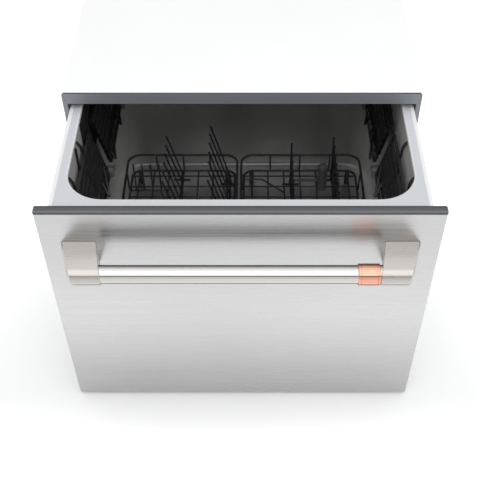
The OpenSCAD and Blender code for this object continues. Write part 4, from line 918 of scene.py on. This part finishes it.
cupLook = {"hingeX": 238.5, "hingeZ": 306.0, "lean": 13.0, "length": 186.0, "depth": 100.0, "slat": 5.0, "slats": 7,
           "slatUp": 1.5, "side": 10.0, "post": 6.0, "postThin": 1.0, "edge": 0.8, "rod": 6.0}
leafLook = {"thick": 4.0, "bend": 2.5, "tips": (11.0, 107.0), "reach": (92.0, 68.0), "far": 34.0,   # bent wires
            "outline": [(-12.3, 0.0, 9.5), (-10.3, 2.5, 10.1), (-4.92, 14.0, 19.0), (0.0, 27.0, 25.0)]}
slatGroups = {   # first slat, count, height
    -1: [(0, 1, 6.0), (1, 7, 12.0)], 1: [(0, 2, 2.4), (2, 4, 12.4), (6, 2, 4.0)]}
hookLook = {"x": 267.8, "thick": 3.8, "top": 438.0, "drop": (24.0, 50.0), "foot": 330.0, "bend": 30.0,
            "comb": (242.0, 14.0, 14)}   # first wire, pitch, count
hookPlaces = {   # y at the top and at the foot
    -1: [(113.0, 135.0), (183.0, 181.0), (198.0, 225.0)], 1: [(113.0, 135.0), (198.0, 225.0)]}


def leafPath(start, reach):   # narrow leaf with its point low and to the front
    return [(0, start + reach, leafLook["far"])] + [(x, start + y, z) for x, y, z in leafLook["outline"]], False


def makeCupRack(node, side):
    y, length, depth = corners(node)[0].y - 1, cupLook["length"], cupLook["depth"]
    slat, post, edge = cupLook["slat"], cupLook["post"], cupLook["edge"]
    pitch, inner = (depth - slat) / cupLook["slats"], length - 2 * cupLook["side"]
    parts = []
    for first, count, height in slatGroups[side]:
        row = slatRow(count, (0, y + length / 2, cupLook["slatUp"] + first * pitch), (0, 0, pitch),
                      (slat, inner, height))
        parts.append(soften(row, edge, 2))
    thin = cupLook["postThin"]
    ribs = slatRow(3, (-thin / 2, y + cupLook["side"] + post / 2, (depth - slat) / 2), (0, (inner - post) / 2, 0),
                   (slat - thin, post, depth))
    leaves = [leafPath(y + tip, reach) for tip, reach in zip(leafLook["tips"], leafLook["reach"])]
    parts += [soften(ribs, edge, 2), wires(leafLook["thick"], leafLook["bend"], leaves)]
    panel = joined(node + "_panel", "cupPlastic", parts)
    panel.data.transform(Matrix.Rotation(math.radians(cupLook["lean"]), 4, "Y"))
    rod = joined(node + "_rod", "rotorSteel", [
        wires(cupLook["rod"], 0, [straight((0, y + 1, 0), (0, y + length - 1, 0))], 24)])
    for piece in (panel, rod):
        piece.data.transform(Matrix.Translation((cupLook["hingeX"] * mm, 0, cupLook["hingeZ"] * mm)))
        if side < 0:
            piece.data.transform(Matrix.Scale(-1, 4, (1, 0, 0)))
            piece.data.flip_normals()
    fit(panel, node, "cup_plastic", node)
    fit(rod, node, "rotor_steel")


def makeHooks():  # bent wires that hold the hinges to the walls, under the rim
    x, top, foot, (shoulder, elbow) = (hookLook[k] for k in ("x", "top", "foot", "drop"))
    start, pitch, count = hookLook["comb"]
    paths = []
    for side, places in hookPlaces.items():
        paths += [([(side * x, a, top), (side * x, (a + 2 * b) / 3, top - shoulder), (side * x, b, top - elbow),
                    (side * x, b, foot)], False) for a, b in places]
    paths += [straight((-x, start + i * pitch, top), (-x, start + i * pitch, foot)) for i in range(count)]
    paths += [straight((-x, start, z), (-x, start + (count - 1) * pitch, z)) for z in (top, foot)]
    hooks = joined("wall_hooks", "cupPlastic", [wires(hookLook["thick"], hookLook["bend"], paths)])
    fit(hooks, "drawer", "cup_plastic")


for cupNode in ("cup_rack_left_front", "cup_rack_left_rear"):
    makeCupRack(cupNode, -1)
for cupNode in ("cup_rack_right_front", "cup_rack_right_rear"):
    makeCupRack(cupNode, 1)
makeHooks()
print("cup racks made")


# ---- soft parts ----

hoseLook = {"x": (124.0, 196.0), "start": (508.5, 390.0), "end": 685.3, "bend": 36.0, "z": 28.0, "radius": 7.9,
            "rib": 4.0, "wave": 0.075, "cuff": 16.4, "cuffLong": 22.0}
feltLook = {"corner": 9.5, "inside": 2.8, "swell": 1.1, "layers": 3, "steps": 6, "gap": 1.0}
sealLook = {"corner": 30.0, "profile": [(0.0, 0.0), (0.2, -1.9), (1.0, -3.7), (2.4, -4.8), (4.0, -5.0),
                                        (5.6, -4.8), (7.0, -3.7), (7.8, -1.9), (8.0, 0.0)]}

hosePlan = Plan("ribbed hose", {"Radius": "Float", "Rib": "Float", "Bend": "Float", "Wave": "Float"})
hoseFine = hosePlan.node("GeometryNodeResampleCurve", {"mode": "LENGTH"}, {
    "Curve": hosePlan.path(24, hosePlan.given("Bend")), "Length": hosePlan.given("Rib") * 0.125})
hoseTurn = hosePlan.node("GeometryNodeSplineParameter", output=1) * (2 * math.pi) / hosePlan.given("Rib")
hosePlan.end(hosePlan.tube(hoseFine, hosePlan.given("Radius"), 20,
                           Scale=(hoseTurn.sine() - 1) * hosePlan.given("Wave") + 1))


def makeHose():
    (left, right), (first, last), end, z = (hoseLook[k] for k in ("x", "start", "end", "z"))
    hose = hosePlan.run({
        "Radius": hoseLook["radius"] * mm, "Rib": hoseLook["rib"] * mm, "Bend": hoseLook["bend"] * mm,
        "Wave": hoseLook["wave"]}, [([(left, first, z), (left, end, z), (right, end, z), (right, last, z)], False)])
    cuffs = wires(hoseLook["cuff"], 0, [
        straight((x, y, z), (x, y + hoseLook["cuffLong"], z)) for x, y in ((left, first), (right, last))], 24)
    fit(joined("link_hose_ribbed", "rubberBlack", [hose, cuffs]), "chassis", "rubber_black", "link_hose")


def makeFelt():  # wrapped round the tub in three layers
    low, high = corners("tub_insulation")
    layers, count, rings = feltLook["layers"], feltLook["layers"] * feltLook["steps"], []
    for i in range(count + 1):
        inset = feltLook["swell"] * (1 - abs(math.sin(math.pi * layers * i / count)))
        rings.append(ring(low, high, inset, feltLook["corner"], low.z + (high.z - low.z) * i / count, 16))
    rings += [opening(feltLook["inside"], high.z), opening(feltLook["inside"], low.z)]
    felt = loft("tub_felt", rings, "felt", around=True)
    cutDispenser(felt, feltLook["gap"])
    fit(evenOut(felt), "drawer", "felt", "tub_insulation")


def makeSeal():  # round lip
    low, high = corners("lid_seal")
    rings = [ring(low, high, inset, sealLook["corner"] - inset, high.z + drop) for inset, drop in sealLook["profile"]]
    fit(loft("lid_seal_lip", rings, "rubberBlack", around=True), "lid", "rubber_black", "lid_seal")


makeHose()
makeFelt()
makeSeal()
print("soft parts made")


# ---- runners ----

runnerLook = {"sheet": 1.5, "bead": 0.7, "beadHalf": 5.0, "beadSlope": 1.0, "bend": 1.2, "inner": 0.4,
              "rivets": 6, "rivetIn": 30.0, "rivet": 4.2}
runners = {   # body, sides, web's face and how far the lips stand from it
    "runner_left_outer": ("chassis", (-1,), 296.5, -7.0), "runner_right_outer": ("chassis", (1,), 296.5, -7.0),
    "runner_middles": ("runner_middles", (-1, 1), 290.0, -7.0),
    "runner_left_inner": ("drawer", (-1,), 282.0, 5.5), "runner_right_inner": ("drawer", (1,), 282.0, 5.5),
}
ribLook = {"x": 282.9, "out": 2.4, "wide": 9.0, "start": 62.0, "pitch": 53.0, "count": 9, "edge": 1.0,
           "rows": [(320.0, 196.0), (84.0, 108.0)]}   # middle and height
gripLook = {"x": 41.0, "from": 109.5, "to": 216.5, "low": 240.0, "high": 284.0, "bend": 16.0, "thick": 5.0}

rivetPlan = Plan("rivet row", {**rowInputs, "Size": "Float"})
rivetHead = rivetPlan.node("GeometryNodeTransform", None, {
    "Geometry": rivetPlan.node("GeometryNodeMeshUVSphere", None, {
        "Segments": 20, "Rings": 10, "Radius": rivetPlan.given("Size")}), "Scale": (0.3, 1, 1)})
rivetCore = rivetPlan.node("GeometryNodeTransform", None, {
    "Geometry": rivetPlan.node("GeometryNodeMeshCylinder", None, {
        "Vertices": 16, "Radius": rivetPlan.given("Size") * 0.35, "Depth": rivetPlan.given("Size") * 0.72}),
    "Rotation": (0, math.pi / 2, 0)})
rivetPlan.end(rivetPlan.row(rivetPlan.both(rivetHead, rivetCore)))


def runnerSection(low, high, web, lip):   # x and z round a member, with a bead along the middle of its web
    t, bend, bead, half, slope, inner = (
        runnerLook[k] for k in ("sheet", "bend", "bead", "beadHalf", "beadSlope", "inner"))
    towards, middle = (1 if lip > web else -1), (low + high) / 2

    def face(x, corner, ends):   # one side of the web, upwards, with rounded ends
        bottom, top = ends
        return [(x + towards * corner, bottom), (x, bottom + corner), (x, middle - half - slope),
                (x + towards * bead, middle - half), (x + towards * bead, middle + half), (x, middle + half + slope),
                (x, top - corner), (x + towards * corner, top)]

    outer, near = face(web, bend, (low, high)), face(web + towards * t, inner, (low + t, high - t))
    return [(lip, low)] + outer + [(lip, high), (lip, high - t)] + near[::-1] + [(lip, low + t)]


def makeRunner(node, body, sides, web, reach):
    low, high = corners(node)
    parts = []
    for side in sides:
        section = runnerSection(low.z, high.z, web, web + reach)
        parts.append(loft("member", [[(side * x, y, z) for x, z in section] for y in (low.y, high.y)], "runnerSteel"))
        if reach > 0:   # riveted to the shell
            count, first = runnerLook["rivets"], low.y + runnerLook["rivetIn"]
            pitch = (high.y - first - runnerLook["rivetIn"]) / (count - 1)
            x = web + runnerLook["sheet"] + runnerLook["bead"]
            parts.append(rivetPlan.run({
                "Count": count, "Start": spot(side * x, first, (low.z + high.z) / 2),
                "Step": Vector((0, pitch, 0)) * mm, "Size": runnerLook["rivet"] * mm}))
    fit(joined(node + "_dressed", "runnerSteel", parts), body, "runner_steel", node)


def makeShellRibs():
    parts = [slatRow(ribLook["count"], (side * ribLook["x"], ribLook["start"], z), (0, ribLook["pitch"], 0),
                     (ribLook["out"], ribLook["wide"], height))
             for side in (-1, 1) for z, height in ribLook["rows"]]
    fit(soften(joined("shell_ribs", "shellGrey", parts), ribLook["edge"], 2), "drawer", "shell_grey")


def makeGrip():
    x, start, end, low, high = (gripLook[k] for k in ("x", "from", "to", "low", "high"))
    path = [(x, start, low), (x, start, high), (x, end, high), (x, end, low)]
    grip = joined("basket_grip", "basketPlastic", [wires(gripLook["thick"], gripLook["bend"], [(path, False)])])
    fit(grip, "cutlery_basket", "basket_plastic")


for runnerNode, (body, sides, web, reach) in runners.items():
    makeRunner(runnerNode, body, sides, web, reach)
makeShellRibs()
makeGrip()
print("runners made")


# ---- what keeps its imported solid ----

dressed = [   # node, body, finish, edge round, slot
    ("tub_shell", "drawer", "shellGrey", 0.6, "shell_grey"),
    ("door_core", "drawer", "coreGrey", 0.5, "core_grey"),
    ("spray_arm", "spray_arm", "armGrey", 1.6, "arm_grey"),
    ("glass_post", "drawer", "postGrey", 0.4, "post_grey"),
    ("cutlery_basket", "cutlery_basket", "basketPlastic", 0.6, "basket_plastic"),
    ("dispenser_body", "drawer", "dispenserGrey", 0.8, "dispenser_grey"),
    ("dispenser_flap", "dispenser_flap", "dispenserGrey", 0.6, "dispenser_grey"),
    ("rinse_cap", "rinse_cap", "capBlue", 0.6, "cap_blue"),
    ("cup_hinges", "drawer", "hingeGrey", 0.6, "cup_plastic"),
]
carried = {
    "chassis_wrap": "whitePaint", "chassis_base": "galvanised", "chassis_back": "galvanised",
    "chassis_screws": "screwSteel", "lid_motors": "blackPlastic", "lid_guides": "blackPlastic",
    "lid_panel": "lidGrey", "lid_yokes": "galvanised", "lid_rods": "rotorSteel", "water_valve": "valveWhite",
    "drain_spigot": "blackPlastic", "mains_inlet": "blackPlastic", "control_box": "lidGrey",
    "handle_screws": "screwSteel", "sump": "sumpBlack", "pump_cover": "sumpBlack", "heater_ring": "rotorSteel",
    "motor_housing": "motorDark", "motor_rotor": "rotorSteel", "pump_wheel": "wheelWhite",
    "filter_plate": "filterSteel", "drain_filter": "filterGrey",
}
for node, body, finish, edge, slotName in dressed:
    fit(softenedCopy(node, finish, edge), body, slotName, node)
for node, finish in carried.items():
    carry(node, finish)
print("other parts finished")
